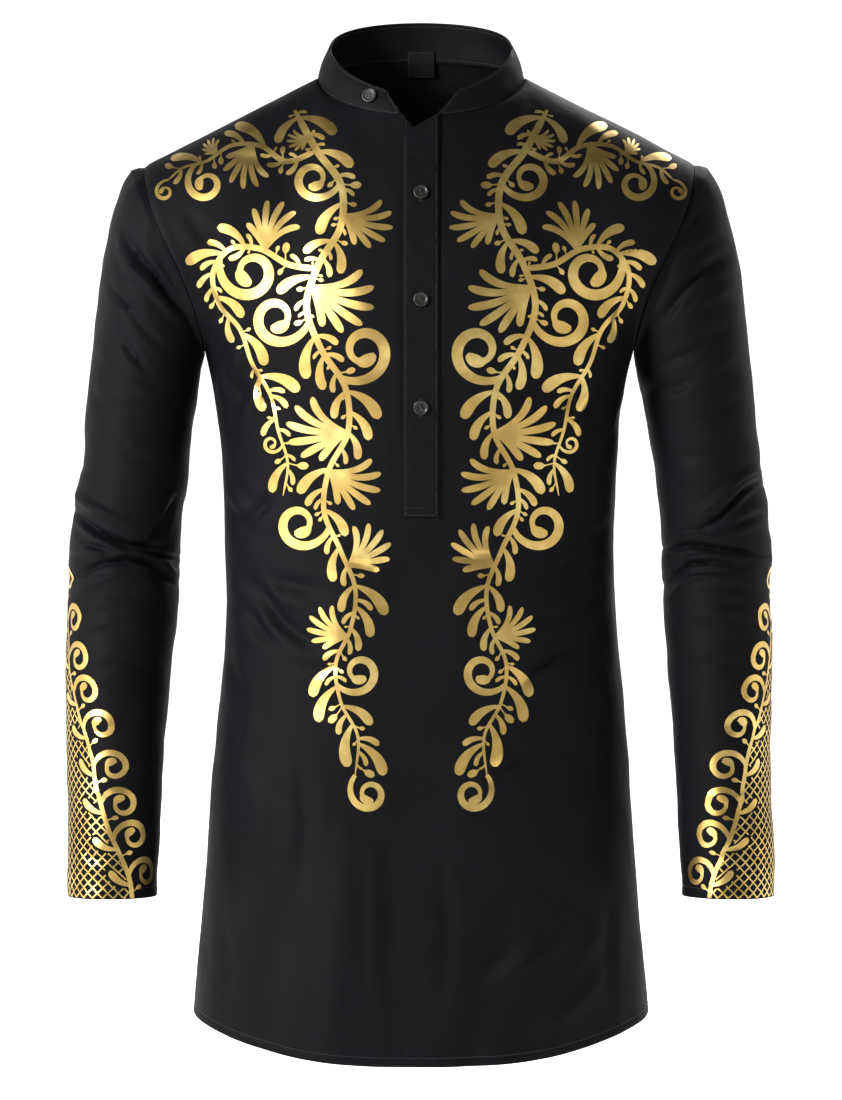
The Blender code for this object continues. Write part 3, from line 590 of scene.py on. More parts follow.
BACK_FOLDS = [
    (-150, -236, -120, -300, 14, 4.5),
    (-160, -262, -134, -330, 13, -4.5),
    (148, -238, 116, -306, 14, 4.5),
    (158, -266, 130, -336, 13, -4.5),
    (-140, -395, -50, -428, 14, -5.0),
    (-112, -366, -30, -392, 15, 4.0),
    (140, -402, 40, -436, 14, -5.0),
    (118, -372, 24, -404, 15, 4.0),
    (-90, -462, 70, -470, 17, -4.0),
    (-100, -640, -118, -815, 24, 5.0),
    (-44, -620, -52, -815, 24, -4.5),
    (24, -640, 18, -815, 24, 4.5),
    (82, -620, 96, -815, 24, -4.5),
    (134, -660, 150, -800, 20, 4.0),
]
SLEEVE_FRONT_FOLDS = {
    -1: [
        (-250, -124, -233, -155, 9, -5.0),
        (-233, -155, -192, -196, 9, -5.0),
        (-249, -189, -228, -213, 11, -3.5),
        (-258, -212, -224, -246, 11, -3.5),
        (-290, -352, -262, -375, 9, 4.0),
        (-287, -364, -250, -388, 8, -6.0),
        (-250, -388, -224, -394, 8, -6.0),
        (-226, -392, -203, -357, 9, -5.0),
        (-292, -417, -262, -402, 8, -6.0),
        (-262, -402, -225, -407, 8, -6.0),
        (-225, -407, -206, -426, 8, -5.0),
        (-270, -395, -226, -399, 7, 3.5),
    ],
    1: [
        (235, -114, 212, -132, 10, -4.5),
        (212, -132, 203, -164, 10, -4.5),
        (255, -146, 235, -164, 10, -4.5),
        (235, -164, 198, -204, 10, -4.5),
        (248, -215, 206, -239, 11, -4.0),
        (230, -251, 190, -262, 11, -4.0),
        (280, -334, 232, -369, 10, 4.5),
        (284, -344, 232, -380, 9, -5.0),
        (202, -394, 242, -393, 8, -6.0),
        (242, -393, 290, -397, 8, -6.0),
        (203, -431, 222, -410, 8, -5.5),
        (222, -410, 270, -409, 8, -5.5),
    ],
}
SLEEVE_BACK_FOLDS = {
    -1: [
        (-252, -150, -206, -196, 11, -4.5),
        (-268, -214, -214, -246, 12, -4.0),
        (-292, -330, -226, -352, 11, -4.5),
        (-290, -372, -214, -384, 10, 4.0),
        (-288, -436, -222, -452, 11, -4.0),
    ],
    1: [
        (250, -140, 204, -190, 11, -4.5),
        (266, -222, 212, -250, 12, -4.0),
        (288, -322, 224, -348, 11, -4.5),
        (290, -368, 214, -386, 10, 4.0),
        (286, -440, 220, -454, 11, -4.0),
    ],
}
print("large folds", len(FRONT_FOLDS), "in front,", len(BACK_FOLDS), "behind")
# How high a fold is at its ends, beside its middle, and how fast it falls off to its sides.
FOLD_END_SHARE = 0.55
FOLD_FALL = 1.6


def fold_height(points, rows):
    """Height of the large folds at each point, seen from the front."""
    height = np.zeros(points.shape[:-1])
    place = points[..., (0, 2)]
    for x1, z1, x2, z2, spread, tall in rows:
        start = np.array([x1, z1]) * MM
        run = np.array([x2, z2]) * MM - start
        length = np.linalg.norm(run)
        along = np.clip(((place - start) @ run) / length ** 2, 0, 1)
        gap = np.linalg.norm(place - start - along[..., None] * run, axis=-1)
        soft_ends = FOLD_END_SHARE + (1 - FOLD_END_SHARE) * np.sin(math.pi * along)
        height += tall * MM * soft_ends * np.exp(-(gap / (spread * MM)) ** 2 * FOLD_FALL)
    return height


# %% Fine creases, drawn as lines
# Half width and height in millimetres, then the crease's points across and up.
FRONT_CREASES = [
    (5, -1.5, -172, -232, -163, -252, -150, -268),
    (4, 1.2, -158, -226, -148, -246, -136, -262),
    (4, -1.2, -140, -250, -128, -268, -112, -280),
    (5, -1.6, -160, -334, -144, -352, -124, -362),
    (4, 1.3, -162, -352, -147, -364, -134, -381),
    (4.5, -1.8, -129, -351, -138, -362, -148, -374),
    (4.5, -1.6, -126, -421, -104, -425, -84, -429),
    (5, -2.3, -139, -429, -121, -453, -92, -472),
    (4, 1.4, -136, -417, -118, -436, -88, -446),
    (5, -2.0, -152, -442, -136, -464, -122, -474),
    (5, -1.0, -112, -486, -84, -494, -60, -490),
    (5, -1.4, 166, -240, 152, -262, 136, -282),
    (4, 1.1, 170, -262, 158, -288, 142, -306),
    (5, -1.2, 130, -252, 116, -274, 96, -288),
    (5, -1.3, 160, -372, 138, -390, 108, -398),
    (4, 1.2, 156, -396, 134, -412, 106, -428),
    (5, -1.4, 152, -430, 128, -446, 98, -456),
    (5, -1.2, 138, -470, 112, -486, 78, -496),
    (5, -1.6, 116, -480, 100, -491, 84, -503),
    (6, -1.6, 111, -556, 86, -570, 58, -584),
    (6, 1.2, 124, -600, 92, -622, 58, -630),
    (7, -1.2, 96, -700, 60, -736, 24, -756),
    (7, 1.3, 146, -716, 120, -752, 96, -790),
    (8, 1.2, -150, -560, -136, -610, -140, -668),
    (6, 1.5, 111, -721, 72, -741, 38, -760),
    (6, 1.4, 140, -758, 112, -778, 90, -792),
    (8, -1.2, -104, -560, -96, -620, -100, -690),
    (7, 1.0, -34, -640, -40, -700, -36, -770),
    (7, -1.0, 18, -640, 22, -706, 14, -780),
    (5, -0.9, -164, -480, -152, -520, -156, -566),
    (4, -0.8, 24, -392, 40, -402, 62, -400),
    (4, -0.8, -22, -396, -42, -408, -64, -404),
    (5, -1.0, -196, -112, -178, -136, -152, -148),
    (5, -1.0, 192, -112, 176, -138, 148, -150),
    (5, -1.2, -188, -150, -172, -182, -160, -208),
    (5, -1.2, 184, -156, 170, -186, 158, -212),
    (4, -0.7, -150, -66, -120, -74, -96, -70),
    (4, -0.7, 150, -64, 120, -74, 96, -70),
    (6, -0.9, -168, -700, -160, -740, -166, -785),
    (6, -0.9, 160, -680, 152, -726, 158, -780),
]
BACK_CREASES = [
    (5, -1.5, -170, -234, -154, -262, -132, -288),
    (5, 1.3, -156, -232, -136, -262, -112, -282),
    (5, -1.4, 168, -236, 150, -266, 130, -292),
    (5, 1.2, 152, -230, 134, -262, 110, -286),
    (5, -1.5, -156, -352, -120, -370, -76, -372),
    (5, -1.4, 154, -360, 118, -378, 70, -382),
    (5, 1.3, -150, -404, -104, -418, -58, -412),
    (5, 1.2, 148, -412, 108, -424, 50, -418),
    (5, -1.4, -120, -438, -60, -450, -8, -442),
    (5, -1.3, 120, -448, 70, -458, 16, -450),
    (6, -1.1, -104, -488, -40, -496, 20, -488),
    (8, -1.3, -150, -540, -142, -620, -150, -700),
    (8, 1.3, -72, -540, -76, -620, -74, -700),
    (8, -1.2, 4, -540, -4, -620, 0, -720),
    (8, 1.3, 56, -560, 54, -640, 60, -740),
    (8, -1.2, 112, -560, 118, -640, 120, -730),
    (5, -1.0, -196, -110, -170, -140, -140, -160),
    (5, -1.0, 192, -110, 168, -142, 138, -160),
    (6, -0.9, -60, -90, -30, -112, 0, -116),
    (6, -0.9, 60, -90, 30, -112, 6, -118),
]
SLEEVE_FRONT_CREASES = {
    -1: [
        (3, -3.0, -248, -128, -233, -156, -213, -177, -190, -199),
        (3.5, 1.8, -254, -132, -240, -162, -220, -184, -196, -206),
        (3, -2.2, -262, -166, -250, -186, -236, -202),
        (3.5, -2.0, -256, -213, -243, -232, -226, -246),
        (4, -1.2, -246, -196, -232, -212, -212, -226),
        (4, 1.2, -270, -226, -252, -250, -222, -266),
        (4, -1.1, -276, -258, -258, -276, -230, -288),
        (5, -0.9, -266, -300, -244, -316, -214, -322),
        (4, 1.8, -293, -346, -272, -360, -250, -368),
        (2.6, -3.4, -292, -362, -270, -379, -244, -392, -214, -394),
        (3, 1.6, -286, -372, -266, -388, -246, -400, -222, -402),
        (3, -2.2, -204, -352, -216, -376, -226, -394),
        (2.6, -3.2, -294, -420, -270, -406, -244, -402, -220, -408, -206, -422),
        (2.4, -2.4, -228, -400, -214, -400, -204, -402),
        (3, 1.5, -222, -404, -212, -410, -206, -416),
        (3, 1.2, -288, -396, -270, -396, -252, -394),
        (2.5, -1.6, -286, -384, -272, -392, -258, -396),
        (3, 1.3, -292, -432, -268, -418, -246, -414),
        (4, -1.3, -290, -436, -266, -428, -240, -432),
        (4, 1.0, -288, -458, -262, -450, -232, -456),
        (5, -0.9, -276, -494, -252, -488, -228, -496),
        (5, -0.8, -288, -540, -262, -548, -236, -540),
        (5, 0.7, -284, -600, -262, -590, -238, -598),
        (5, -0.8, -290, -640, -268, -650, -240, -646),
    ],
    1: [
        (4, -2.0, 238, -110, 222, -124, 208, -142, 203, -168),
        (4, 1.4, 246, -126, 230, -138, 214, -156),
        (4, -1.8, 258, -142, 240, -160, 216, -184, 196, -208),
        (4, 1.3, 262, -166, 244, -184, 220, -204),
        (4, -1.6, 252, -210, 230, -228, 204, -240),
        (4, -1.3, 236, -246, 214, -260, 190, -262),
        (4, 1.1, 264, -224, 242, -244, 212, -256),
        (4, -1.0, 272, -262, 250, -278, 222, -290),
        (5, -0.9, 262, -300, 240, -314, 212, -320),
        (4, 1.8, 286, -328, 262, -344, 234, -364),
        (2.6, -3.2, 289, -340, 262, -358, 232, -378),
        (2.4, -3.2, 200, -395, 220, -392, 240, -393, 268, -393, 290, -398),
        (3, 1.4, 208, -388, 228, -384, 254, -384),
        (2.5, -2.8, 202, -432, 214, -418, 222, -408, 246, -405, 272, -408),
        (2.4, -1.8, 290, -366, 268, -372, 244, -380),
        (3, 1.3, 216, -402, 240, -400, 272, -402),
        (3, 1.3, 208, -438, 226, -420, 252, -418),
        (4, -1.2, 288, -434, 262, -426, 236, -432),
        (4, 1.0, 290, -456, 262, -448, 232, -452),
        (5, -0.9, 272, -492, 250, -486, 226, -494),
        (5, -0.8, 286, -546, 262, -538, 236, -548),
        (5, 0.7, 284, -596, 258, -604, 236, -596),
        (5, -0.8, 290, -648, 264, -640, 240, -650),
    ],
}
SLEEVE_BACK_CREASES = {
    side: [
        (4, -2.0, side * 256, -144, side * 236, -172, side * 206, -194),
        (4, 1.4, side * 262, -164, side * 240, -190, side * 210, -212),
        (4, -1.5, side * 270, -208, side * 246, -230, side * 214, -246),
        (4, 1.1, side * 272, -236, side * 248, -256, side * 216, -268),
        (4, -1.4, side * 290, -322, side * 262, -338, side * 226, -350),
        (4, 1.3, side * 288, -344, side * 258, -358, side * 222, -366),
        (4, -1.5, side * 294, -398, side * 258, -390, side * 216, -394),
        (4, -1.5, side * 286, -428, side * 254, -440, side * 220, -450),
        (4, 1.0, side * 288, -466, side * 256, -456, side * 226, -462),
        (5, -0.9, side * 284, -520, side * 258, -512, side * 230, -522),
        (5, 0.8, side * 286, -590, side * 262, -580, side * 236, -588),
    ] for side in (-1, 1)
}
print("creases", len(FRONT_CREASES), "in front,", len(BACK_CREASES), "behind")


def waves(points, size, seed, count=12):
    """Soft random waves of about this size, from minus one to one."""
    dice = np.random.default_rng(seed)
    ways = unit(dice.normal(size=(count, 3)))
    lengths = size * dice.uniform(0.7, 1.5, count)
    phases = dice.uniform(0, FULL_TURN, count)
    total = sum(np.sin(points @ way * FULL_TURN / length + phase)
                for way, length, phase in zip(ways, lengths, phases))
    return total / math.sqrt(count)


# The lips of a crease stand beside it, in half widths, and are lower than it is deep.
CREASE_FALL = 1.6
CREASE_LIP_PLACE = 1.9
CREASE_LIP_HEIGHT = 0.35
CREASE_DEPTH = 1.5
WANDER_SIZE = 70 * MM
WANDER_IN_MM = 2.5


def crease_height(points, rows, seed):
    """Height of the fine creases: each is a line with a lip on both sides."""
    wander = np.stack([waves(points, WANDER_SIZE, seed + k) for k in range(2)], axis=-1)
    place = points[..., (0, 2)] + wander * WANDER_IN_MM * MM
    height = np.zeros(points.shape[:-1])
    for spread, tall, *line in rows:
        knots = np.array(line, dtype=float).reshape(-1, 2) * MM
        nearest = np.full(height.shape, 1.0)
        taper = np.zeros(height.shape)
        for index, (start, end) in enumerate(zip(knots, knots[1:])):
            run = end - start
            along = np.clip(((place - start) @ run) / (run @ run), 0, 1)
            gap = np.linalg.norm(place - start - along[..., None] * run, axis=-1)
            share = (index + along) / (len(knots) - 1)
            taper = np.where(gap < nearest, np.sin(math.pi * (0.06 + 0.88 * share)), taper)
            nearest = np.minimum(gap, nearest)
        width = spread * MM
        middle = np.exp(-CREASE_FALL * (nearest / width) ** 2)
        lips = np.exp(-CREASE_FALL * (nearest / width - CREASE_LIP_PLACE) ** 2)
        height += tall * MM * taper * (middle - CREASE_LIP_HEIGHT * lips)
    return CREASE_DEPTH * height


def hang(points, seed):
    """Shallow waves of the cloth, in metres."""
    stretched = points * np.array([1.0, 1.0, 0.45])
    return (0.9 * waves(stretched, 90 * MM, seed) + 0.35 * waves(points, 38 * MM, seed + 5)
            + 0.08 * waves(points, 14 * MM, seed + 9)) * MM


# %% [markdown]
# ## Making cloth from a grid
#
# Woven cloth has two sides and a thin edge. Each panel is therefore a closed shell: the outer
# grid, a second grid just behind it, and strips round the open edges. Mesh data is written
# straight from arrays, which is far quicker than adding faces one by one.

# %% A shell from two grids
CLOTH = 0.9 * MM


def shell(name, outer, inner, material, keep=None, closed=False):
    """A closed shell between two grids of points."""
    rows, columns = outer.shape[:2]
    quads = grid_faces(rows, columns, closed)
    kept = np.ones(quads.shape[:2], dtype=bool) if keep is None else keep
    quads = quads[kept]
    behind = quads[:, ::-1] + rows * columns
    edges = np.concatenate([quads[:, [k, (k + 1) % 4]] for k in range(4)])
    code = edges[:, 0].astype(np.int64) * rows * columns + edges[:, 1]
    back = edges[:, 1].astype(np.int64) * rows * columns + edges[:, 0]
    open_edges = edges[~np.isin(code, back)]
    rim = np.concatenate([open_edges[:, ::-1], open_edges + rows * columns], axis=1)
    faces = np.concatenate([quads, behind, rim])
    points = np.concatenate([outer.reshape(-1, 3), inner.reshape(-1, 3)])
    corners = points[faces]
    halves = np.cross(corners[:, 2] - corners[:, 0], corners[:, 3] - corners[:, 1])
    if (halves * corners.mean(axis=1)).sum() < 0:
        faces = faces[:, ::-1]
    used = np.unique(faces)
    places = np.zeros(len(points), dtype=int)
    places[used] = np.arange(len(used))
    return mesh_piece(name, points[used], places[faces], material)


def mesh_piece(name, points, faces, material, sharp=60):
    """A mesh object from points and faces, shaded smooth."""
    mesh = bpy.data.meshes.new(name)
    mesh.from_pydata(np.asarray(points).tolist(), [], [list(face) for face in faces])
    mesh.validate()
    mesh.shade_smooth()
    mesh.set_sharp_from_angle(angle=math.radians(sharp))
    mesh.materials.append(material)
    return link(name, mesh)


def read_grid(grid, row, place):
    """Points of a grid at fractional rows and columns."""
    i = np.clip(np.floor(row).astype(int), 0, grid.shape[0] - 2)
    j = np.clip(np.floor(place).astype(int), 0, grid.shape[1] - 2)
    u, v = (row - i)[..., None], (place - j)[..., None]
    low = grid[i, j] * (1 - v) + grid[i, j + 1] * v
    high = grid[i + 1, j] * (1 - v) + grid[i + 1, j + 1] * v
    return low * (1 - u) + high * u


def flat_cut(grid, closed=False):
    """What a grid of cloth was cut to: its greatest width and length, and its area."""
    if closed:
        grid = np.concatenate([grid, grid[:, :1]], axis=1)
    width = np.linalg.norm(np.diff(grid, axis=1), axis=-1).sum(axis=1).max()
    length = np.linalg.norm(np.diff(grid, axis=0), axis=-1).sum(axis=0).max()
    crossed = np.cross(grid[1:, 1:] - grid[:-1, :-1], grid[1:, :-1] - grid[:-1, 1:])
    area = np.linalg.norm(crossed, axis=-1).sum() / 2
    return (round(width, 3), round(length, 3)), round(min(area, width * length), 4)


# %% [markdown]
# ## Front and back
#
# The front is cut in one piece with a slot for the placket, and the back in one piece without
# a yoke. Both have a narrow double-turned hem with one row of stitches. The rows of the grid
# crowd together there, so that the turned edge and the groove under the stitches have a shape.

# %% Body panels as cloth
HEM_WIDTH = 9 * MM
HEM_LENGTH = ARMPIT_Z - HEM_CENTRE_Z
HEM_UP = HEM_WIDTH / HEM_LENGTH
SEAM_DIP = 0.9 * MM
# The panels lap by a hair at their seams, so that no light shines through.
SEAM_LAP = 0.08 * MM
HEM_THICKNESS = 1.5 * MM
HEM_STITCH_IN = 1.5 * MM
HEM_STITCH_UP = HEM_UP - HEM_STITCH_IN / HEM_LENGTH
# About how far it is along the cloth from a panel's middle to its side, and down its top part.
HALF_ROUND = 270 * MM
TOP_SEAM_SCALE = 200 * MM
# The folds, the creases and the first seed of the front and the back.
PANEL_FOLDS = {-1: (FRONT_FOLDS, FRONT_CREASES, 3), 1: (BACK_FOLDS, BACK_CREASES, 23)}
# Over how much cloth the folds rise: from a side and from the top edge, in shares of the panel,
# and from the placket.
LARGE_FOLDS_RISE = (0.12, 0.25, 18 * MM)
SMALL_FOLDS_RISE = (0.05, 0.12, 6 * MM)
SOFTENING_ROUNDS = 40
SOFTENED_SHARE = 0.10


def around_line(middle, reach):
    """Places close on both sides of a stitched line."""
    return [middle + reach * share for share in (-1.0, -0.4, 0.0, 0.4, 1.0)]


def turned_hem(above, width, rise, depth, rounding):
    """Height of a turned hem: a raised band, a groove under its stitches and a round edge."""
    height = rise * (1 - fade(above - width, 1.5 * MM))
    height -= depth * groove(above - width + HEM_STITCH_IN, 0.9 * MM)
    return height - rounding * (1 - fade(above, 1.2 * MM))


def rows_above(count):
    """Places from the armpit to the top edge, closer together over the shoulder."""
    even = np.linspace(0, 1, count)
    return 1 + (even + np.sin(even * math.pi / 2)) / 2


def soften_beside_neck(points, across, up):
    """Rounds the edge that would run down from the end of the neckline."""
    soft = points.copy()
    for _ in range(SOFTENING_ROUNDS):
        soft[:, 1:-1] = (soft[:, :-2] + 2 * soft[:, 1:-1] + soft[:, 2:]) / 4
    near = groove(np.abs(across) - NECK_SHARE, SOFTENED_SHARE)[None, :, None]
    below_top = (fade(up - 0.9, 0.3) * fade(1.98 - up, 0.16))[:, None, None]
    return points + (soft - points) * near * below_top


def panel_cloth(facing, across, up):
    """Outer points of a panel with all its folds, and the ways to its inner points."""
    points = soften_beside_neck(panel_surface(facing, across, up), across, up)
    normals = outward_normals(points, closed=False) * -facing
    folds, creases, seed = PANEL_FOLDS[facing]
    grid_across, grid_up = np.meshgrid(across, up)
    beside = 1 - np.abs(grid_across)
    centre = np.abs(points[..., 0]) - PLACKET_HALF_WIDTH
    low = PLACKET_FOOT_Z - points[..., 2]

    def free(from_side, from_top, from_placket):
        """One in open cloth and nothing at the seams, where the folds end."""
        share = fade(beside, from_side) * fade(2 - grid_up, from_top)
        if facing > 0:
            return share
        return share * np.maximum(fade(centre, from_placket), fade(low, from_placket))

    height = fold_height(points, folds) * free(*LARGE_FOLDS_RISE)
    small = crease_height(points, creases, seed + 8) + hang(points, seed)
    height += small * free(*SMALL_FOLDS_RISE)
    height -= SEAM_DIP * (1 - fade(beside * HALF_ROUND, 5 * MM)) * np.where(grid_up < 1, 0.6, 1.0)
    height += turned_hem(grid_up * HEM_LENGTH, HEM_WIDTH, 0.35 * MM, 0.45 * MM, 0.5 * MM)
    height -= 0.5 * MM * (1 - fade((2 - grid_up) * TOP_SEAM_SCALE, 4 * MM))
    points = points + normals * height[..., None]
    inward = outward_normals(points, closed=False) * facing

    last = len(across) - 1
    for edge, side in ((0, -1), (last, 1)):
        inward[up < 1, edge] = (-side, 0.0, 0.0)
        turn = up[up > 1] - 1
        rise = (1 - np.cos(math.pi * turn)) / 2
        inward[up > 1, edge] = armhole_inward(side, points[up > 1, edge], rise, -0.6)
        inward[up == 1, edge] = unit(np.array([-side, 0.0, 0.5]))
    start = math.asin(SLOT_HALF_WIDTH / NECK_HALF_WIDTH)
    for place in range(1, last):
        side = math.copysign(1, across[place])
        share = abs(across[place])
        if share > NECK_SHARE + 1e-6:
            line = np.array(SHOULDER_POINTS[side]) - neck_ring(np.array(math.pi / 2)) * (side, 1, 1)
            inward[-1, place] = unit(np.array([line[2] * side, 0.0, -line[0] * side]))
        else:
            along = max(share - SLOT_SHARE, 0) / (NECK_SHARE - SLOT_SHARE)
            angle = start + (math.pi / 2 - start) * along
            turn = angle if facing < 0 else math.pi - angle
            inward[-1, place] = neck_inward(np.array(turn)) * (side, 1, 1)
    points[..., 1] -= facing * SEAM_LAP / 2
    return points, inward


def make_panel(name, facing, across, up, keep=None):
    """A panel as cloth, with its outer points and the ways to its inner points."""
    points, inward = panel_cloth(facing, across, up)
    thick = np.where(up < HEM_UP, HEM_THICKNESS, CLOTH)[:, None, None]
    return shell(name, points, points + inward * thick, black_cloth, keep), points, inward


slot_up = (SLOT_FOOT_Z - HEM_CENTRE_Z) / HEM_LENGTH
half = np.concatenate([
    np.linspace(SLOT_SHARE, NECK_SHARE, 38), np.linspace(NECK_SHARE, 0.97, 44)[1:],
    [0.98, 0.987, 0.993, 1.0]])
front_across = np.concatenate([-half[::-1], [0.0], half])
hem_rows = [0.0, 0.0008, 0.002, 0.005, *around_line(HEM_STITCH_UP, 0.0022), HEM_UP + 0.002]
front_up = np.unique(np.concatenate([
    hem_rows, np.linspace(0.024, slot_up, 118), np.linspace(slot_up, 1, 36), rows_above(84)]))
middle_column = len(half)
slot_row = int(np.searchsorted(front_up, slot_up - 1e-9))
front_keep = np.ones((len(front_up) - 1, len(front_across) - 1), dtype=bool)
front_keep[slot_row:, middle_column - 1:middle_column + 1] = False
front_cloth, front_points, front_inward = make_panel(
    "front_cloth", -1, front_across, front_up, front_keep)
back_half = np.concatenate([
    np.linspace(0, NECK_SHARE, 28), np.linspace(NECK_SHARE, 0.97, 36)[1:], [0.98, 0.99, 1.0]])
back_across = np.concatenate([-back_half[::-1][:-1], back_half])
back_up = np.unique(np.concatenate([hem_rows, np.linspace(0.024, 1, 120), rows_above(66)]))
back_cloth, back_points, back_inward = make_panel("back_cloth", 1, back_across, back_up)
print("front", len(front_cloth.data.polygons), "faces, back", len(back_cloth.data.polygons))

# %% [markdown]
# ## Sleeves
#
# Each sleeve is a tube of rings from the armhole to its plain hem. The arm hangs with a slight
# forward bend, so the cloth buckles in rings at the elbow and in long slanting lines below the
# shoulder. A tailor eases a little extra cloth into the sleeve head, and it ripples there.

# %% Sleeve sizes
# The outer and the inner end of each ring in the front view, how far its middle stands behind
# the side seam, and half its depth, in millimetres.
SLEEVE_COLUMNS = ("outer_x", "outer_z", "inner_x", "inner_z", "middle_y", "half_depth")
SLEEVE_TABLES = {
    -1: [
        (-246.0, -72, -184.0, -229, 4, 74),
        (-255.0, -86, -184.6, -232, 4, 74),
        (-262.3, -108, -185.5, -237, 4, 73),
        (-268.2, -134, -186.6, -242, 4, 72),
        (-273.3, -166, -187.6, -249, 4, 70),
        (-276.7, -198, -188.8, -258, 4, 68),
        (-280.0, -230, -190.0, -270, 3, 66),
        (-283.5, -264, -192.6, -286, 2, 64),
        (-286.3, -294, -195.2, -307, 1, 62),
        (-287.0, -320, -197.0, -328, 0, 61),
        (-292.0, -336, -199.0, -347, 0, 60),
        (-294.5, -357, -202.0, -364, -1, 59),
        (-296.3, -374, -203.4, -379, -2, 58),
        (-298.8, -389, -204.6, -393, -3, 57),
        (-299.6, -404, -205.0, -406, -4, 57),
        (-298.8, -421, -205.0, -421, -6, 56),
        (-299.6, -438, -206.3, -438, -8, 55),
        (-298.8, -459, -207.6, -459, -11, 54),
        (-299.6, -485, -211.0, -485, -15, 52),
        (-298.4, -523, -213.0, -523, -21, 50),
        (-297.9, -565, -216.4, -565, -28, 47),
        (-297.1, -608, -218.0, -608, -35, 45),
        (-297.1, -650, -220.0, -650, -42, 43),
        (-297.1, -684, -221.4, -684, -47, 41),
    ],
    1: [
        (243.0, -70, 181.0, -229, 4, 74),
        (252.0, -84, 181.6, -232, 4, 74),
        (260.0, -106, 182.5, -237, 4, 73),
        (266.0, -132, 183.6, -242, 4, 72),
        (272.5, -164, 184.6, -249, 4, 70),
        (275.5, -198, 185.8, -258, 4, 68),
        (279.2, -230, 188.0, -268, 3, 66),
        (282.0, -262, 190.8, -284, 2, 64),
        (285.2, -296, 194.6, -306, 1, 62),
        (287.7, -320, 197.5, -328, 0, 61),
        (290.0, -338, 199.5, -347, 0, 60),
        (293.6, -354, 201.2, -362, -1, 59),
        (293.2, -372, 202.0, -377, -2, 58),
        (296.8, -388, 202.8, -391, -3, 57),
        (297.6, -403, 202.8, -404, -4, 57),
        (294.8, -421, 203.4, -421, -6, 56),
        (295.6, -438, 204.4, -438, -8, 55),
        (297.0, -459, 206.0, -459, -11, 54),
        (297.4, -485, 207.4, -485, -15, 52),
        (295.8, -523, 210.4, -523, -21, 50),
        (294.5, -565, 213.5, -565, -28, 47),
        (295.4, -608, 216.0, -608, -35, 45),
        (297.4, -650, 218.0, -650, -42, 43),
        (296.2, -684, 220.0, -684, -47, 41),
    ],
}
print("sleeve rings", [len(table) for table in SLEEVE_TABLES.values()])

# %% Sleeves as cloth
SLEEVE_AROUND = 156
SLEEVE_HEM = 10 * MM
LAST_RING = 23.0
# The sharp creases take up part of the depth of the solid's wide folds.
FOLD_LEFT_TO_CREASES = 0.6
# How far the rings that join the sleeve to its seam stand on the way to the table's first ring.
JOINING = np.array([0.0, 0.16, 0.36, 0.66])
LAST_RING_GAP = 34 * MM
SIDE_NAMES = {-1: "left", 1: "right"}
RIPPLES = 46
RIPPLE_HEIGHT = 0.55 * MM
RIPPLE_REACH = 11 * MM


def sleeve_cloth(side, steps):
    """Outer points of a sleeve, ring by ring from the armhole, and the ways inward."""
    table = SLEEVE_TABLES[side]
    knots = np.arange(len(table), dtype=float)
    sizes = {name: MM * smooth_read(steps, knots, column(table, SLEEVE_COLUMNS, name))[:, None]
             for name in SLEEVE_COLUMNS}
    turn = np.arange(SLEEVE_AROUND) / SLEEVE_AROUND * FULL_TURN
    towards_outer = (1 + np.cos(turn)) / 2
    x = sizes["inner_x"] + (sizes["outer_x"] - sizes["inner_x"]) * towards_outer
    z = sizes["inner_z"] + (sizes["outer_z"] - sizes["inner_z"]) * towards_outer
    y = sizes["middle_y"] - sizes["half_depth"] * np.sin(turn)
    rings = np.stack([x, y, z], axis=-1)

    share = np.where(turn <= math.pi, 1 - turn / math.pi, turn / math.pi - 1)
    facing = np.where(turn <= math.pi, -1.0, 1.0)
    seam = armhole_point(side, share, facing) + armhole_outward(side) * SEAM_GAP
    joined = seam[None] + (rings[:1] - seam[None]) * JOINING[:, None, None]
    rings = np.concatenate([joined, rings])
    normals = outward_normals(rings, closed=True) * side
    fronts = np.clip(0.5 - 1.2 * normals[..., 1], 0, 1)
    from_seam = np.linalg.norm(rings - seam[None], axis=-1)
    order = np.concatenate([JOINING, steps + 1])[:, None]
    height = fold_height(rings, SLEEVE_FRONT_FOLDS[side]) * fronts
    height += fold_height(rings, SLEEVE_BACK_FOLDS[side]) * (1 - fronts)
    height *= FOLD_LEFT_TO_CREASES * fade(order, 3.0)
    fine = crease_height(rings, SLEEVE_FRONT_CREASES[side], 51 + side) * fronts
    fine += crease_height(rings, SLEEVE_BACK_CREASES[side], 61 + side) * (1 - fronts)
    height += (fine + hang(rings, 71 + side)) * fade(from_seam, 14 * MM)
    ripple = np.sin(share * RIPPLES + 3 * np.sin(share * 9)) * np.clip((share - 0.35) / 0.3, 0, 1)
    height += RIPPLE_HEIGHT * ripple * np.exp(-from_seam / RIPPLE_REACH) * fade(from_seam, 4 * MM)
    height -= SEAM_DIP * (1 - fade(from_seam, 5 * MM))
    above = rings[..., 2] - rings[-1:, :, 2]
    height += turned_hem(above, SLEEVE_HEM, 0.3 * MM, 0.4 * MM, 0.45 * MM)
    rings = rings + normals * height[..., None]
    inward = -outward_normals(rings, closed=True) * side
    inward[0] = armhole_inward(side, seam, (1 + np.cos(turn)) / 2, 0.6)
    return rings, inward


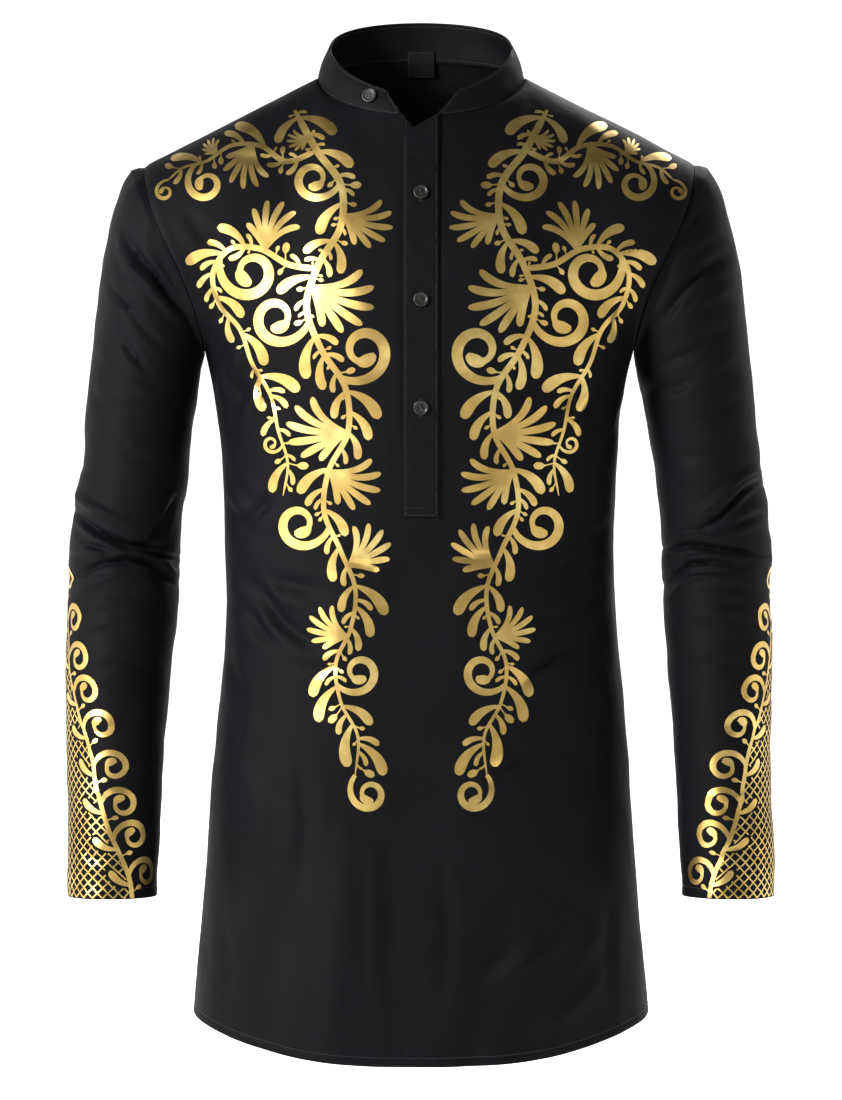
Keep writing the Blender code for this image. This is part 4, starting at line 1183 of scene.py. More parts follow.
stitch_ring = LAST_RING - (SLEEVE_HEM - HEM_STITCH_IN) / LAST_RING_GAP
sleeve_steps = np.unique(np.concatenate([
    np.linspace(0, 9, 62), np.linspace(9, 18, 124), np.linspace(18, 22.6, 52),
    around_line(stitch_ring, 0.04), LAST_RING - np.array([0.29, 0.15, 0.08, 0.035, 0.01, 0.0])]))
sleeves, sleeve_grids = {}, {}
for side, word in SIDE_NAMES.items():
    rings, inward = sleeve_cloth(side, sleeve_steps)
    order = np.concatenate([0 * JOINING, sleeve_steps])
    in_hem = order > LAST_RING - SLEEVE_HEM / LAST_RING_GAP
    thick = np.where(in_hem, HEM_THICKNESS, CLOTH)[:, None, None]
    sleeves[side] = shell(f"sleeve_{word}_cloth", rings, rings + inward * thick, black_cloth,
                          closed=True)
    sleeve_grids[side] = rings
print("sleeves", [len(sleeve.data.polygons) for sleeve in sleeves.values()])

# %% [markdown]
# ## Band collar
#
# A band collar is two layers of cloth with a stiffener between them, so it stands and its edge
# is firm. It is stitched all round, close to the edge, and the stitches pull a shallow groove.
# Its ends stand a little apart in front, because the top button is open.

# %% Collar sizes
BAND_FOOT_LEFT_X = -15 * MM
BAND_FOOT_RIGHT_X = 12 * MM
BAND_TOP_LEFT_X = -27 * MM
BAND_TOP_RIGHT_X = 29 * MM
BAND_TOP_HALF_WIDTH = 77.5 * MM
BAND_TOP_FRONT_Y = -66 * MM
BAND_TOP_BACK_Y = 64 * MM
BAND_TOP_FRONT_Z = -15 * MM
BAND_TOP_SIDE_Z = 30 * MM
BAND_TOP_BACK_Z = 62 * MM
BAND_CORNER = 5 * MM
BAND_HEIGHT = 36 * MM
BAND_STITCH = 0.085
BAND_BULGE = 1.5 * MM


def band_top(turn):
    """A point of the collar's top edge; turn runs as it does at the foot."""
    front = np.cos(turn) > 0
    reach = np.where(front, -BAND_TOP_FRONT_Y, BAND_TOP_BACK_Y)
    lift = np.where(front, BAND_TOP_SIDE_Z - BAND_TOP_FRONT_Z, BAND_TOP_BACK_Z - BAND_TOP_SIDE_Z)
    bend = np.where(front, np.abs(np.cos(turn)) ** 1.3, np.abs(np.cos(turn)) ** 0.75)
    return np.stack([BAND_TOP_HALF_WIDTH * np.sin(turn), -reach * np.cos(turn),
                     BAND_TOP_SIDE_Z - lift * np.where(front, bend, -bend)], axis=-1)


def band_points(along, up):
    """Outer points of the collar band, from its left end round the back to its right end."""
    foot_left = FULL_TURN + math.asin(BAND_FOOT_LEFT_X / NECK_HALF_WIDTH)
    foot_right = math.asin(BAND_FOOT_RIGHT_X / NECK_HALF_WIDTH)
    top_left = FULL_TURN + math.asin(BAND_TOP_LEFT_X / BAND_TOP_HALF_WIDTH)
    top_right = math.asin(BAND_TOP_RIGHT_X / BAND_TOP_HALF_WIDTH)
    foot_turn = foot_left + (foot_right - foot_left) * along
    foot = neck_ring(foot_turn) - np.array([0.0, 0.0, 0.5 * MM])
    top = band_top(top_left + (top_right - top_left) * along)
    rise = up[:, None, None]
    points = foot + (top - foot) * rise
    out = np.stack([np.sin(foot_turn), -np.cos(foot_turn), 0 * foot_turn], axis=-1)
    points = points + out * np.sin(math.pi * rise) * BAND_BULGE
    length = np.linalg.norm(np.diff(top, axis=0), axis=-1).sum()
    near_end = np.minimum(along, 1 - along) * length
    drop = np.clip(1 - near_end / BAND_CORNER, 0, 1) ** 2 * BAND_CORNER * 0.6
    points[..., 2] -= rise[..., 0] * drop
    inward = -outward_normals(points[:, ::-1], closed=False)[:, ::-1]
    inward[0] = neck_inward(foot_turn)
    return points, inward, near_end


# %% Collar as two stitched layers
band_along = np.unique(np.concatenate([
    np.linspace(0, 1, 190), [0.0008, 0.002, 0.0035, 0.005, 0.007],
    [0.993, 0.995, 0.9965, 0.998, 0.9992]]))
band_up = np.unique(np.concatenate([
    np.linspace(0, 1, 17), around_line(BAND_STITCH, 0.03), around_line(1 - BAND_STITCH, 0.03),
    [0.008, 0.02, 0.98, 0.992]]))
band_grid, band_inward, near_end = band_points(band_along, band_up)
band_from_edge = np.minimum(np.minimum(band_up, 1 - band_up)[:, None] * BAND_HEIGHT, near_end[None])
soft_edge = (1 - fade(band_from_edge, 1.0 * MM)) * 0.6 * MM
stitch_groove = 0.35 * MM * groove(band_from_edge - BAND_STITCH * BAND_HEIGHT, 0.8 * MM)
puff = 0.25 * MM * waves(band_grid, 22 * MM, 91) * fade(band_from_edge, 5 * MM)
band_dip = (soft_edge + stitch_groove - puff)[..., None]
band_outer = band_grid + band_inward * band_dip
band_back = band_grid + band_inward * (BAND_WALL - band_dip)
collar = shell("collar_cloth", band_outer, band_back, black_cloth)
print("collar", len(collar.data.polygons), "faces")

# %% [markdown]
# ## Half placket
#
# The placket is a strip sewn over a slot. Its edges are folded under and stitched down, and two
# rows of stitches across the foot close it. The under strip carries the buttons, and shows only
# in the small V of the open neck.

# %% Placket strips
PLACKET_WALL = 1.4 * MM
NECK_V_Z = -44 * MM
NECK_V_X = -5 * MM
OVER_TOP_SLOPE = 0.6
UNDER_TOP_SLOPE = -1.0
PLACKET_EDGE_STITCH = 2.0 * MM
FOOT_ROWS = (1.8 * MM, 7.5 * MM)


def front_centre(x, z):
    """A point of the front panel beside its middle line, and the way out of it there."""
    def depth(height):
        ring = -body_size(np.minimum(height, ARMPIT_Z), "front")
        rise = np.clip((height - ARMPIT_Z) / (NECK_SIDE_Z - NECK_FRONT_DROP - ARMPIT_Z), 0, 1.2)
        neck_y = NECK_MIDDLE_Y - NECK_FRONT_REACH
        return ring + (neck_y - ring) * rise ** NECK_SLOPE_POWER[-1] - SEAM_GAP / 2
    step = 1 * MM
    slope = (depth(z + step) - depth(z - step)) / (2 * step)
    way = unit(np.stack([0 * z, -np.ones_like(z), slope], axis=-1))
    return np.stack([x, depth(z), z], axis=-1), way


def placket_strip(name, half_width, lift, foot_z, top_slope, wall, stitched):
    """One side of the placket: a strip with soft edges and, if stitched, grooves in it."""
    share = np.sin(np.linspace(-1, 1, 27) * math.pi / 2)
    x = share * half_width
    top = NECK_V_Z + (x - NECK_V_X) * top_slope
    up = np.unique(np.concatenate([
        np.linspace(0, 1, 150), [0.001, 0.003, 0.005, 0.018, 0.025, 0.027]]))
    z = foot_z + (top - foot_z) * up[:, None]
    base, way = front_centre(x + 0 * z, z)
    from_side = half_width - np.abs(x) + 0 * z
    from_edge = np.minimum(from_side, z - foot_z)
    dip = 0.55 * MM * (1 - fade(np.minimum(from_edge, top - z), 0.9 * MM))
    if stitched:
        dip += 0.3 * MM * groove(from_side - PLACKET_EDGE_STITCH, 0.7 * MM)
        for row in FOOT_ROWS:
            dip += 0.3 * MM * groove(z - foot_z - row, 0.7 * MM)
        pucker = waves(base * np.array([1.0, 1.0, 2.0]), 16 * MM, 97)
        dip += 0.16 * MM * pucker * fade(from_edge, 3 * MM)
    outer = base + way * (lift + wall - dip)[..., None]
    return shell(name, outer, base + way * lift, black_cloth), outer


placket_over, over_grid = placket_strip(
    "placket_over_cloth", PLACKET_HALF_WIDTH, PLACKET_LIFT, PLACKET_FOOT_Z, OVER_TOP_SLOPE,
    PLACKET_WALL, True)
placket_under, under_grid = placket_strip(
    "placket_under_cloth", SLOT_HALF_WIDTH - LAY_GAP, -WALL, SLOT_FOOT_Z + LAY_GAP, UNDER_TOP_SLOPE,
    WALL - LAY_GAP * 0.5, False)
print("placket strips made")

# %% [markdown]
# ## Stitches
#
# Shirt stitches are about two and a half millimetres long, in thread that is a little shinier
# than the cloth. Each one here is a slim six-sided bar with pointed ends, laid along its seam
# and half sunk in the groove. All the stitches of one seam are one mesh.

# %% Rows of stitches
STITCH_LENGTH = 2.3 * MM
STITCH_PITCH = 3.0 * MM
STITCH_RADIUS = 0.21 * MM
STITCH_PROUD_IN_MM = 0.05
# How far along the stitch each ring of its bar stands, and how thick it is there.
STITCH_SHAPE = ((-0.5, 0.0), (-0.36, 0.9), (0.0, 1.0), (0.36, 0.9), (0.5, 0.0))


def even_steps(line, pitch):
    """Points and directions at even steps along a line."""
    runs = np.linalg.norm(np.diff(line, axis=0), axis=1)
    length = np.concatenate([[0.0], np.cumsum(runs)])
    places = np.arange(pitch / 2, length[-1] - pitch / 2, pitch)
    points = np.stack([np.interp(places, length, line[:, k]) for k in range(3)], axis=1)
    ahead = np.stack([np.interp(places + 0.5 * MM, length, line[:, k]) for k in range(3)], axis=1)
    return points, unit(ahead - points)


def stitch_bars(points, ways, normals, length=STITCH_LENGTH, radius=STITCH_RADIUS):
    """Vertices and faces of one bar for each point."""
    side = unit(np.cross(normals, ways))
    up = np.cross(ways, side)
    places, faces = [], []
    for share, thick in STITCH_SHAPE:
        if thick == 0.0:
            places.append((points + ways * length * share)[:, None])
            continue
        turns = np.arange(6) / 6 * FULL_TURN
        ring = (np.cos(turns)[None, :, None] * side[:, None]
                + np.sin(turns)[None, :, None] * up[:, None])
        places.append((points + ways * length * share)[:, None] + ring * radius * thick)
    block = np.concatenate(places, axis=1)
    for k in range(6):
        n = (k + 1) % 6
        faces += [(0, 1 + n, 1 + k), (19, 13 + k, 13 + n)]
        for low in (1, 7):
            faces.append((low + k, low + n, low + 6 + n, low + 6 + k))
    return block, faces


def stitched_seam(name, rows, length=STITCH_LENGTH, pitch=STITCH_PITCH, radius=STITCH_RADIUS):
    """Stitches along several lines, each given with the way out of the cloth there."""
    points, faces, count = [], [], 0
    for line, normals in rows:
        places, ways = even_steps(line, pitch)
        nearest = np.linalg.norm(places[:, None] - line[None], axis=-1).argmin(axis=1)
        out = normals[nearest]
        block, pattern = stitch_bars(places + out * STITCH_PROUD_IN_MM * MM, ways, out, length, radius)
        for bar in block:
            points.append(bar)
            faces += [tuple(20 * count + corner for corner in face) for face in pattern]
            count += 1
    return mesh_piece(name, np.concatenate(points), faces, black_thread)


def grid_line(grid, normals, rows, columns):
    """A line on a grid and the ways out of it."""
    return read_grid(grid, rows, columns), unit(read_grid(normals, rows, columns))


def row_line(grid, normals, row, first, last, count):
    """A line along one row of a grid."""
    return grid_line(grid, normals, np.full(count, row), np.linspace(first, last, count))


def hem_row(grid, inward, up):
    """The stitches of a panel's hem."""
    row = np.interp(HEM_STITCH_UP, up, np.arange(len(up)))
    return row_line(grid, -inward, row, 1, grid.shape[1] - 2, 300)


body_hem = stitched_seam("body_hem_stitches", [
    hem_row(front_points, front_inward, front_up), hem_row(back_points, back_inward, back_up)])
cuff_hems = {}
for side, grid in sleeve_grids.items():
    normals = outward_normals(grid, closed=True) * side
    row = len(JOINING) + np.interp(stitch_ring, sleeve_steps, np.arange(len(sleeve_steps)))
    seam = row_line(grid, normals, row, 0, SLEEVE_AROUND - 1, 260)
    cuff_hems[side] = stitched_seam("hem_stitches_" + SIDE_NAMES[side], [seam])
print("hem stitches", len(body_hem.data.polygons), "faces")

# %% Stitches of the collar and the placket


def band_line(up_share, inside):
    """A row of stitches along the collar, on its outside or its inside."""
    grid, ways = (band_back, band_inward) if inside else (band_outer, -band_inward)
    row = np.interp(up_share, band_up, np.arange(len(band_up)))
    return row_line(grid, ways, row, 6, len(band_along) - 7, 420)


def band_end(at_right, inside):
    """The stitches down one end of the collar."""
    grid, ways = (band_back, band_inward) if inside else (band_outer, -band_inward)
    place = np.interp(3 * MM, near_end[:60], np.arange(60))
    place = len(band_along) - 1 - place if at_right else place
    heights = np.linspace(BAND_STITCH, 1 - BAND_STITCH, 40)
    rows = np.interp(heights, band_up, np.arange(len(band_up)))
    return grid_line(grid, ways, rows, np.full(40, place))


def placket_line(x1, z1, x2, z2):
    """A row of stitches on the upper placket strip."""
    x, z = np.linspace(x1, x2, 200), np.linspace(z1, z2, 200)
    base, way = front_centre(x, z)
    return base + way * (PLACKET_LIFT + PLACKET_WALL - 0.3 * MM), way


band_rows = [band_line(share, inside)
             for share in (BAND_STITCH, 1 - BAND_STITCH) for inside in (False, True)]
band_rows += [band_end(right, inside) for right in (False, True) for inside in (False, True)]
band_stitches = stitched_seam("collar_stitches", band_rows)
placket_x = PLACKET_HALF_WIDTH - PLACKET_EDGE_STITCH
placket_rows = []
for x in (-placket_x, placket_x):
    top_z = NECK_V_Z + (x - NECK_V_X) * OVER_TOP_SLOPE
    placket_rows.append(placket_line(x, PLACKET_FOOT_Z + 2 * MM, x, top_z - 2 * MM))
for row in FOOT_ROWS:
    z = PLACKET_FOOT_Z + row
    placket_rows.append(placket_line(-placket_x, z, placket_x, z))
placket_stitches = stitched_seam("placket_stitches", placket_rows)
print("stitches on", [piece.name for piece in (body_hem, *cuff_hems.values(), band_stitches)])

# %% [markdown]
# ## Buttons
#
# The buttons are small, black and moulded, with a raised rim, a dished middle and four holes.
# A lathe profile gives the rim and the dish, and the holes are pits pushed into a fine grid,
# so that light catches their edges. Two short bars of thread join the holes in pairs.

# %% Button shape
BUTTON_RADIUS = 6.2 * MM
BUTTON_THICKNESS = 2.4 * MM
PLACKET_BUTTONS = {"button_top": -101 * MM, "button_middle": -190 * MM, "button_low": -278 * MM}
BUTTON_SIDES = 72
DISH_HEIGHT = 0.735
HOLE_REACH = 1.75 * MM
HOLE_RADIUS = 0.78 * MM
HOLE_DEPTH_IN_MM = 1.1
JOIN_WITHIN = 0.004 * MM
THREAD_RADIUS = 0.17 * MM
STRANDS_IN_MM = (-0.28, 0.0, 0.28)
BUTTON_TURNS = {"button_top": 0.2, "button_middle": 0.85, "button_low": 0.5, "button_collar": 0.1}
# Shares of the radius and of the thickness, from the back over the edge to the middle.
BUTTON_PROFILE = [
    (0.0, 0.0), (0.5, 0.0), (0.80, 0.02), (0.93, 0.14), (0.99, 0.34), (1.0, 0.55), (0.985, 0.76),
    (0.94, 0.92), (0.88, 0.99), (0.82, 1.0), (0.76, 0.96), (0.71, 0.86), (0.67, 0.77),
    (0.62, 0.74), (0.56, DISH_HEIGHT)]


def button_frame(place, way, turn):
    """The button's own axes: across, up and out, turned about the way out."""
    face = np.array(way) / np.linalg.norm(way)
    across = unit(np.cross((0.0, 0.0, 1.0), face))
    rise = np.cross(face, across)
    first = across * math.cos(turn) + rise * math.sin(turn)
    return np.array(place), np.stack([first, np.cross(face, first), face], axis=1)


def make_button(name, place, way):
    """A moulded button with four holes."""
    profile = BUTTON_PROFILE + [(share, DISH_HEIGHT) for share in np.linspace(0.54, 0.0, 24)]
    turns = np.arange(BUTTON_SIDES) / BUTTON_SIDES * FULL_TURN
    rings = np.array([[(radius * math.cos(t), radius * math.sin(t), height) for t in turns]
                      for radius, height in profile])
    rings[..., :2] *= BUTTON_RADIUS
    rings[..., 2] *= BUTTON_THICKNESS
    face_rings = np.arange(len(profile)) >= len(BUTTON_PROFILE)
    for corner in range(4):
        angle = (corner + 0.5) * FULL_TURN / 4
        hole = np.array([math.cos(angle), math.sin(angle)]) * HOLE_REACH
        gap = np.linalg.norm(rings[..., :2] - hole, axis=-1)
        pit = 1 - fade(gap - HOLE_RADIUS * 0.72, HOLE_RADIUS * 0.45)
        rings[..., 2] -= pit * HOLE_DEPTH_IN_MM * MM * face_rings[:, None]
    origin, axes = button_frame(place, way, BUTTON_TURNS[name])
    points = rings.reshape(-1, 3) @ axes.T + origin
    faces = grid_faces(len(profile), BUTTON_SIDES, closed=True).reshape(-1, 4)
    button = mesh_piece(name + "_plastic", points, faces, button_plastic, 40)
    merge = button.modifiers.new("join_middle", "WELD")
    merge.merge_threshold = JOIN_WITHIN
    return button, origin, axes


def button_thread(name, origin, axes):
    """Thread between the holes of a button, in two bars that bulge up."""
    bars = []
    for side in (-1, 1):
        for strand in STRANDS_IN_MM:
            share = np.linspace(-1, 1, 9)
            reach = HOLE_REACH * math.sqrt(0.5)
            bulge = BUTTON_THICKNESS * DISH_HEIGHT + (0.42 * (1 - share ** 2) - 0.25) * MM
            across = np.full(9, side * reach + strand * MM)
            local = np.stack([share * reach, across, bulge], axis=-1)
            bars.append(local @ axes.T + origin)
    curve = bpy.data.curves.new(name, "CURVE")
    curve.dimensions = "3D"
    curve.bevel_depth = THREAD_RADIUS
    curve.bevel_resolution = 3
    curve.use_fill_caps = True
    for bar in bars:
        spline = curve.splines.new("POLY")
        spline.points.add(len(bar) - 1)
        for point, place in zip(spline.points, bar):
            point.co = (*place, 1.0)
    curve.materials.append(black_thread)
    return link(name, curve)


# %% Buttons in their places
buttons, button_threads = {}, []
button_spots = {}
for name, height in PLACKET_BUTTONS.items():
    base, way = front_centre(np.array(0.0), np.array(height))
    button_spots[name] = (base + way * (PLACKET_LIFT + PLACKET_WALL + LAY_GAP), way)
end_foot = band_points(np.linspace(0, 1, 31), np.linspace(0, 1, 5))[0]
collar_spot = (end_foot[1, 1] + end_foot[-2, 2]) / 2
collar_way = np.array([-0.28, -0.9, 0.25])
button_spots["button_collar"] = (collar_spot + unit(collar_way) * 1.2 * MM, collar_way)
for name, (place, way) in button_spots.items():
    buttons[name], origin, axes = make_button(name, place, way)
    button_threads.append(button_thread(name + "_thread", origin, axes))
print(len(buttons), "buttons,", round(2 * BUTTON_RADIUS / MM, 1), "mm across")

# %% Buttonholes
# A worked buttonhole is a slit with close stitches on both sides; its ends show past the button.
SLIT_HALF_LENGTH = 7.6 * MM
SLIT_HALF_WIDTH = 0.75 * MM

hole_rows = []
for z in PLACKET_BUTTONS.values():
    for x in (-SLIT_HALF_WIDTH, SLIT_HALF_WIDTH):
        line, way = placket_line(x, z - SLIT_HALF_LENGTH, x, z + SLIT_HALF_LENGTH)
        hole_rows.append((line + way * 0.25 * MM, way))
buttonholes = stitched_seam(
    "buttonhole_stitches", hole_rows, length=0.9 * MM, pitch=0.5 * MM, radius=0.24 * MM)
print(len(hole_rows), "rows of buttonhole stitches")

# %% [markdown]
# ## Neck label
#
# A small woven label is sewn inside the back of the neck. It is left bare.

# %% Label
LABEL_HALF_WIDTH = 11.5 * MM
LABEL_TOP_Z = 37 * MM
LABEL_BOTTOM_Z = 15 * MM
LABEL_WALL = 1.0 * MM
LABEL_LEAN = 0.33
BAND_CHORD = 0.55 * MM


def make_label():
    """A folded tape, a little puffed, with soft edges."""
    x = np.sin(np.linspace(-1, 1, 31) * math.pi / 2) * LABEL_HALF_WIDTH
    up = (1 + np.sin(np.linspace(-1, 1, 27) * math.pi / 2))[:, None] / 2
    z = LABEL_BOTTOM_Z + (LABEL_TOP_Z - LABEL_BOTTOM_Z) * up + 0 * x
    clear = BAND_WALL + LAY_GAP + BAND_CHORD
    lean = LABEL_LEAN * np.maximum(NECK_SIDE_Z + NECK_BACK_RISE - z, 0)
    curve = (x / NECK_HALF_WIDTH) ** 2 * NECK_BACK_REACH / 2
    y = NECK_MIDDLE_Y + NECK_BACK_REACH - clear + lean - curve
    back = np.stack([x + 0 * z, y, z], axis=-1)
    from_edge = np.minimum(LABEL_HALF_WIDTH - np.abs(x) + 0 * z,
                           np.minimum(z - LABEL_BOTTOM_Z, LABEL_TOP_Z - z))
    thick = LABEL_WALL * (0.45 + 0.55 * fade(from_edge, 1.2 * MM))
    thick -= 0.25 * MM * groove(from_edge - 1.6 * MM, 0.5 * MM)
    front = back - np.array([0.0, 1.0, 0.0]) * thick[..., None]
    return shell("neck_label_tape", front, back, black_tape), front


label, label_front = make_label()
label_lines = [label_front[2:-2, 3], label_front[2:-2, 27], label_front[3, 2:-2],
               label_front[23, 2:-2]]
label_rows = [(line, np.tile((0.0, -1.0, 0.0), (len(line), 1))) for line in label_lines]
label_stitches = stitched_seam(
    "label_stitches", label_rows, length=1.3 * MM, pitch=1.9 * MM, radius=0.16 * MM)
print("label", round(2 * LABEL_HALF_WIDTH / MM, 1), "mm wide")

# %% [markdown]
# ## The gold print
#
# The print is ordinary scroll ornament in a layout made for this shirt. On each side of the
# placket a vine winds down from the shoulder, and a second vine runs out along the shoulder. The
# vines throw off coiled tendrils, teardrop leaves, buds and small fans. Everything is worked out:
# a vine is a smooth line, and at even steps along it the script tries to grow a motif, largest
# size first, and keeps it only where it stays clear of what is drawn and inside the zone.
#
# A motif is a line with a width that changes along it. It becomes a flat ribbon in the pattern's
# own plane, and every point of the ribbon is then carried onto the cloth by a ray, so the foil
# lies in the folds. The right half is the left half turned over.

# %% Motifs as lines with widths
PRINT_STEP = 1.3 * MM
RIBBON_SHARES = np.array([-1.0, -0.55, 0.0, 0.55, 1.0])


def smooth_line(knots, step=PRINT_STEP):
    """A smooth line through knots, with points at even steps."""
    knots = np.asarray(knots, dtype=float) * MM
    at = np.concatenate([[0.0], np.cumsum(np.linalg.norm(np.diff(knots, axis=0), axis=1))])
    fine = np.linspace(0, at[-1], max(int(at[-1] / step * 3), 8))
    line = np.stack([smooth_read(fine, at, knots[:, k]) for k in range(2)], axis=-1)
    length = np.concatenate([[0.0], np.cumsum(np.linalg.norm(np.diff(line, axis=0), axis=1))])
    even = np.linspace(0, length[-1], max(int(length[-1] / step), 5))
    return np.stack([np.interp(even, length, line[:, k]) for k in range(2)], axis=-1)


def heading_line(root, heading, length, bend):
    """A line that starts at root and turns as bend says, from 0 to 1 along it."""
    count = max(int(length / PRINT_STEP), 7)
    share = np.linspace(0, 1, count)
    angle = heading + bend(share)
    steps = np.stack([np.cos(angle), np.sin(angle)], axis=-1) * length / (count - 1)
    return root + np.concatenate([[[0.0, 0.0]], np.cumsum((steps[1:] + steps[:-1]) / 2, axis=0)])


def leaf(root, heading, size, hand):
    """A teardrop that bends to one side and is fullest near its tip."""
    line = heading_line(root, heading, size, lambda s: hand * (1.1 * s ** 1.4 - 0.3))
    share = np.linspace(0, 1, len(line))
    full = share ** 0.9 * np.sqrt(np.clip(1 - share ** 6, 0, 1))
    width = size * 0.180 * full + 0.9 * MM * (1 - share)
    return [(line, width)]


def coil(root, heading, size, hand, turns=1.15):
    """A tendril that leaves the vine and coils up round a round tip."""
    length = size * 2.35 * turns

    def bend(share):
        tightening = (share + 0.9 * share ** 2.6) / 1.9
        return hand * (FULL_TURN * turns * tightening * 1.12 - 0.5)

    line = heading_line(root, heading, length, bend)
    share = np.linspace(0, 1, len(line))
    body = size * (0.056 + 0.042 * np.sin(math.pi * np.clip(share * 1.2, 0, 1)))
    round_tip = np.sqrt(np.clip(1 - ((share - 0.93) / 0.07) ** 2, 0, 1)) * size * 0.115
    return [(line, np.maximum(body * (1 - fade(share - 0.9, 0.08)), round_tip))]


def fan(root, heading, size, hand, petals=6):
    """Long petals that open from one point and all sweep a little to one side."""
    strokes = []
    for petal in range(petals):
        lean = petal / (petals - 1) * 2 - 1
        reach = size * (1.0 - 0.26 * lean ** 2 + 0.10 * lean * hand)
        line = heading_line(root, heading + lean * 0.50, reach,
                            lambda s, lean=lean: (lean * 0.75 + hand * 0.35) * s ** 1.6)
        share = np.linspace(0, 1, len(line))
        full = share ** 0.8 * np.sqrt(np.clip(1 - share ** 8, 0, 1))
        width = size * 0.076 * full + 0.8 * MM * (1 - share)
        strokes.append((line, width))
    return strokes


def bud(root, heading, size, hand):
    """A short stalk with a round bud."""
    line = heading_line(root, heading, size, lambda s: hand * 0.5 * s)
    share = np.linspace(0, 1, len(line))
    knob = np.sqrt(np.clip(1 - ((share - 0.74) / 0.26) ** 2, 0, 1))
    return [(line, np.maximum(size * 0.17 * knob, 0.55 * MM * (1 - fade(share - 0.7, 0.1))))]


MOTIFS = {"leaf": leaf, "coil": coil, "fan": fan, "bud": bud}
print("motifs", list(MOTIFS))

# %% Growing motifs where there is room


def inside_zone(points, zone):
    """Whether points lie inside a closed outline."""
    inside = np.zeros(len(points), dtype=bool)
    for (x1, z1), (x2, z2) in zip(zone, np.roll(zone, -1, axis=0)):
        if z1 == z2:
            continue
        crosses = (z1 > points[:, 1]) != (z2 > points[:, 1])
        at = x1 + (points[:, 1] - z1) * (x2 - x1) / (z2 - z1)
        inside ^= crosses & (points[:, 0] < at)
    return inside


# Close to its root a motif may touch the vine.
FREE_AT_ROOT = 6.5 * MM
FREE_SHARE = 0.30
VINE_NEAR_ROOT = 6.0 * MM
ROOT_ALLOWANCE = 1.6 * MM
# The sizes and the turns at which a motif is tried, one after the other.
SHRINKS = (1.0, 0.86, 0.74, 0.62, 0.52)
LEANS = (0.0, 0.22, -0.22, 0.45, -0.45)


class Drawing:
    """Strokes of one half of a print, and a test of the room left."""

    def __init__(self, zone, gap):
        self.zone, self.gap = np.array(zone, dtype=float) * MM, gap
        self.strokes = []
        self.points, self.widths = np.zeros((0, 2)), np.zeros(0)

    def add(self, strokes):
        for line, width in strokes:
            self.strokes.append((line, width))
            self.points = np.concatenate([self.points, line])
            self.widths = np.concatenate([self.widths, width])

    def has_room(self, strokes, root):
        """Clear of everything drawn, apart from near the root, and inside the zone."""
        reach = max(np.linalg.norm(line - root, axis=1).max() for line, _ in strokes)
        free = max(FREE_AT_ROOT, FREE_SHARE * reach)
        near_root = np.linalg.norm(self.points - root, axis=1) < VINE_NEAR_ROOT
        for line, width in strokes:
            if not inside_zone(line, self.zone).all():
                return False
            away = np.linalg.norm(line - root, axis=1) > free
            if not away.any():
                continue
            gaps = np.linalg.norm(line[away][:, None] - self.points[None], axis=-1)
            room = gaps - self.widths[None] - width[away][:, None]
            room[:, near_root] += ROOT_ALLOWANCE
            if (room < self.gap).any():
                return False
        return True

    def grow(self, kind, root, heading, size, hand):
        """Tries a motif at falling sizes and a few headings; True when it is drawn."""
        for shrink in SHRINKS:
            for lean in LEANS:
                strokes = MOTIFS[kind](root, heading + lean, size * shrink, hand)
                if self.has_room(strokes, root):
                    self.add(strokes)
                    return True
        return False

    def grow_at(self, line, share, kind, angle, size, side):
        """Grows a motif at a share of a vine's length, at an angle to the vine on one side."""
        spot = min(int(share * (len(line) - 1)), len(line) - 2)
        run = line[spot + 1] - line[spot]
        heading = math.atan2(run[1], run[0]) + side * angle
        return self.grow(kind, line[spot], heading, size, -side if kind == "leaf" else side)

    def along_vine(self, line, pattern, pitch, start):
        """Grows a repeating pattern of motifs on both sides of a vine."""
        length = PRINT_STEP * (len(line) - 1)
        for index, place in enumerate(np.arange(start, length, pitch)):
            for side in (1, -1):
                kind, size, angle = pattern[(2 * index + (side < 0)) % len(pattern)]
                self.grow_at(line, place / length, kind, angle, size * MM, side)


def vine(knots, thick, tip=0.35):
    """A vine's line, thick at its root and finer at its tip."""
    line = smooth_line(knots)
    share = np.linspace(0, 1, len(line))
    width = thick * MM * (1 - (1 - tip) * share ** 1.5)
    return line, width * (0.45 + 0.55 * fade(np.minimum(share, 1 - share), 0.03))


# %% The chest pattern
# The zone and the vines of the left half, in millimetres across and up from the origin.
CHEST_ZONE = [
    (-16, -62), (-40, -56), (-62, -50), (-84, -36), (-102, -16), (-122, -19), (-150, -34),
    (-180, -49), (-214, -67), (-221, -92), (-214, -128), (-196, -158), (-176, -196), (-150, -232),
    (-136, -262), (-132, -300), (-122, -352), (-110, -392), (-98, -438), (-92, -500), (-98, -548),
    (-88, -588), (-62, -622), (-30, -616), (-16, -580), (-20, -520), (-26, -450), (-22, -380),
    (-19, -340), (-19, -200), (-19, -100)]
# Each vine: its knots, half its width at the root, and the pitch of its leaves.
CHEST_VINES = [
    ([(-106, -26), (-86, -64), (-66, -94), (-66, -128), (-84, -160), (-94, -194), (-82, -230),
      (-62, -262), (-60, -298), (-76, -330), (-80, -362), (-66, -396), (-54, -428), (-58, -460),
      (-70, -488), (-66, -520), (-52, -548), (-54, -580)], 3.1, 17),
    ([(-88, -64), (-112, -72), (-134, -58), (-158, -57), (-180, -71), (-200, -76),
      (-211, -86)], 2.5, 19),
    ([(-84, -164), (-108, -160), (-134, -146), (-158, -146), (-172, -164), (-168, -190),
      (-150, -212), (-140, -240), (-124, -268), (-118, -296), (-110, -324), (-114, -350)], 2.5, 19),
]
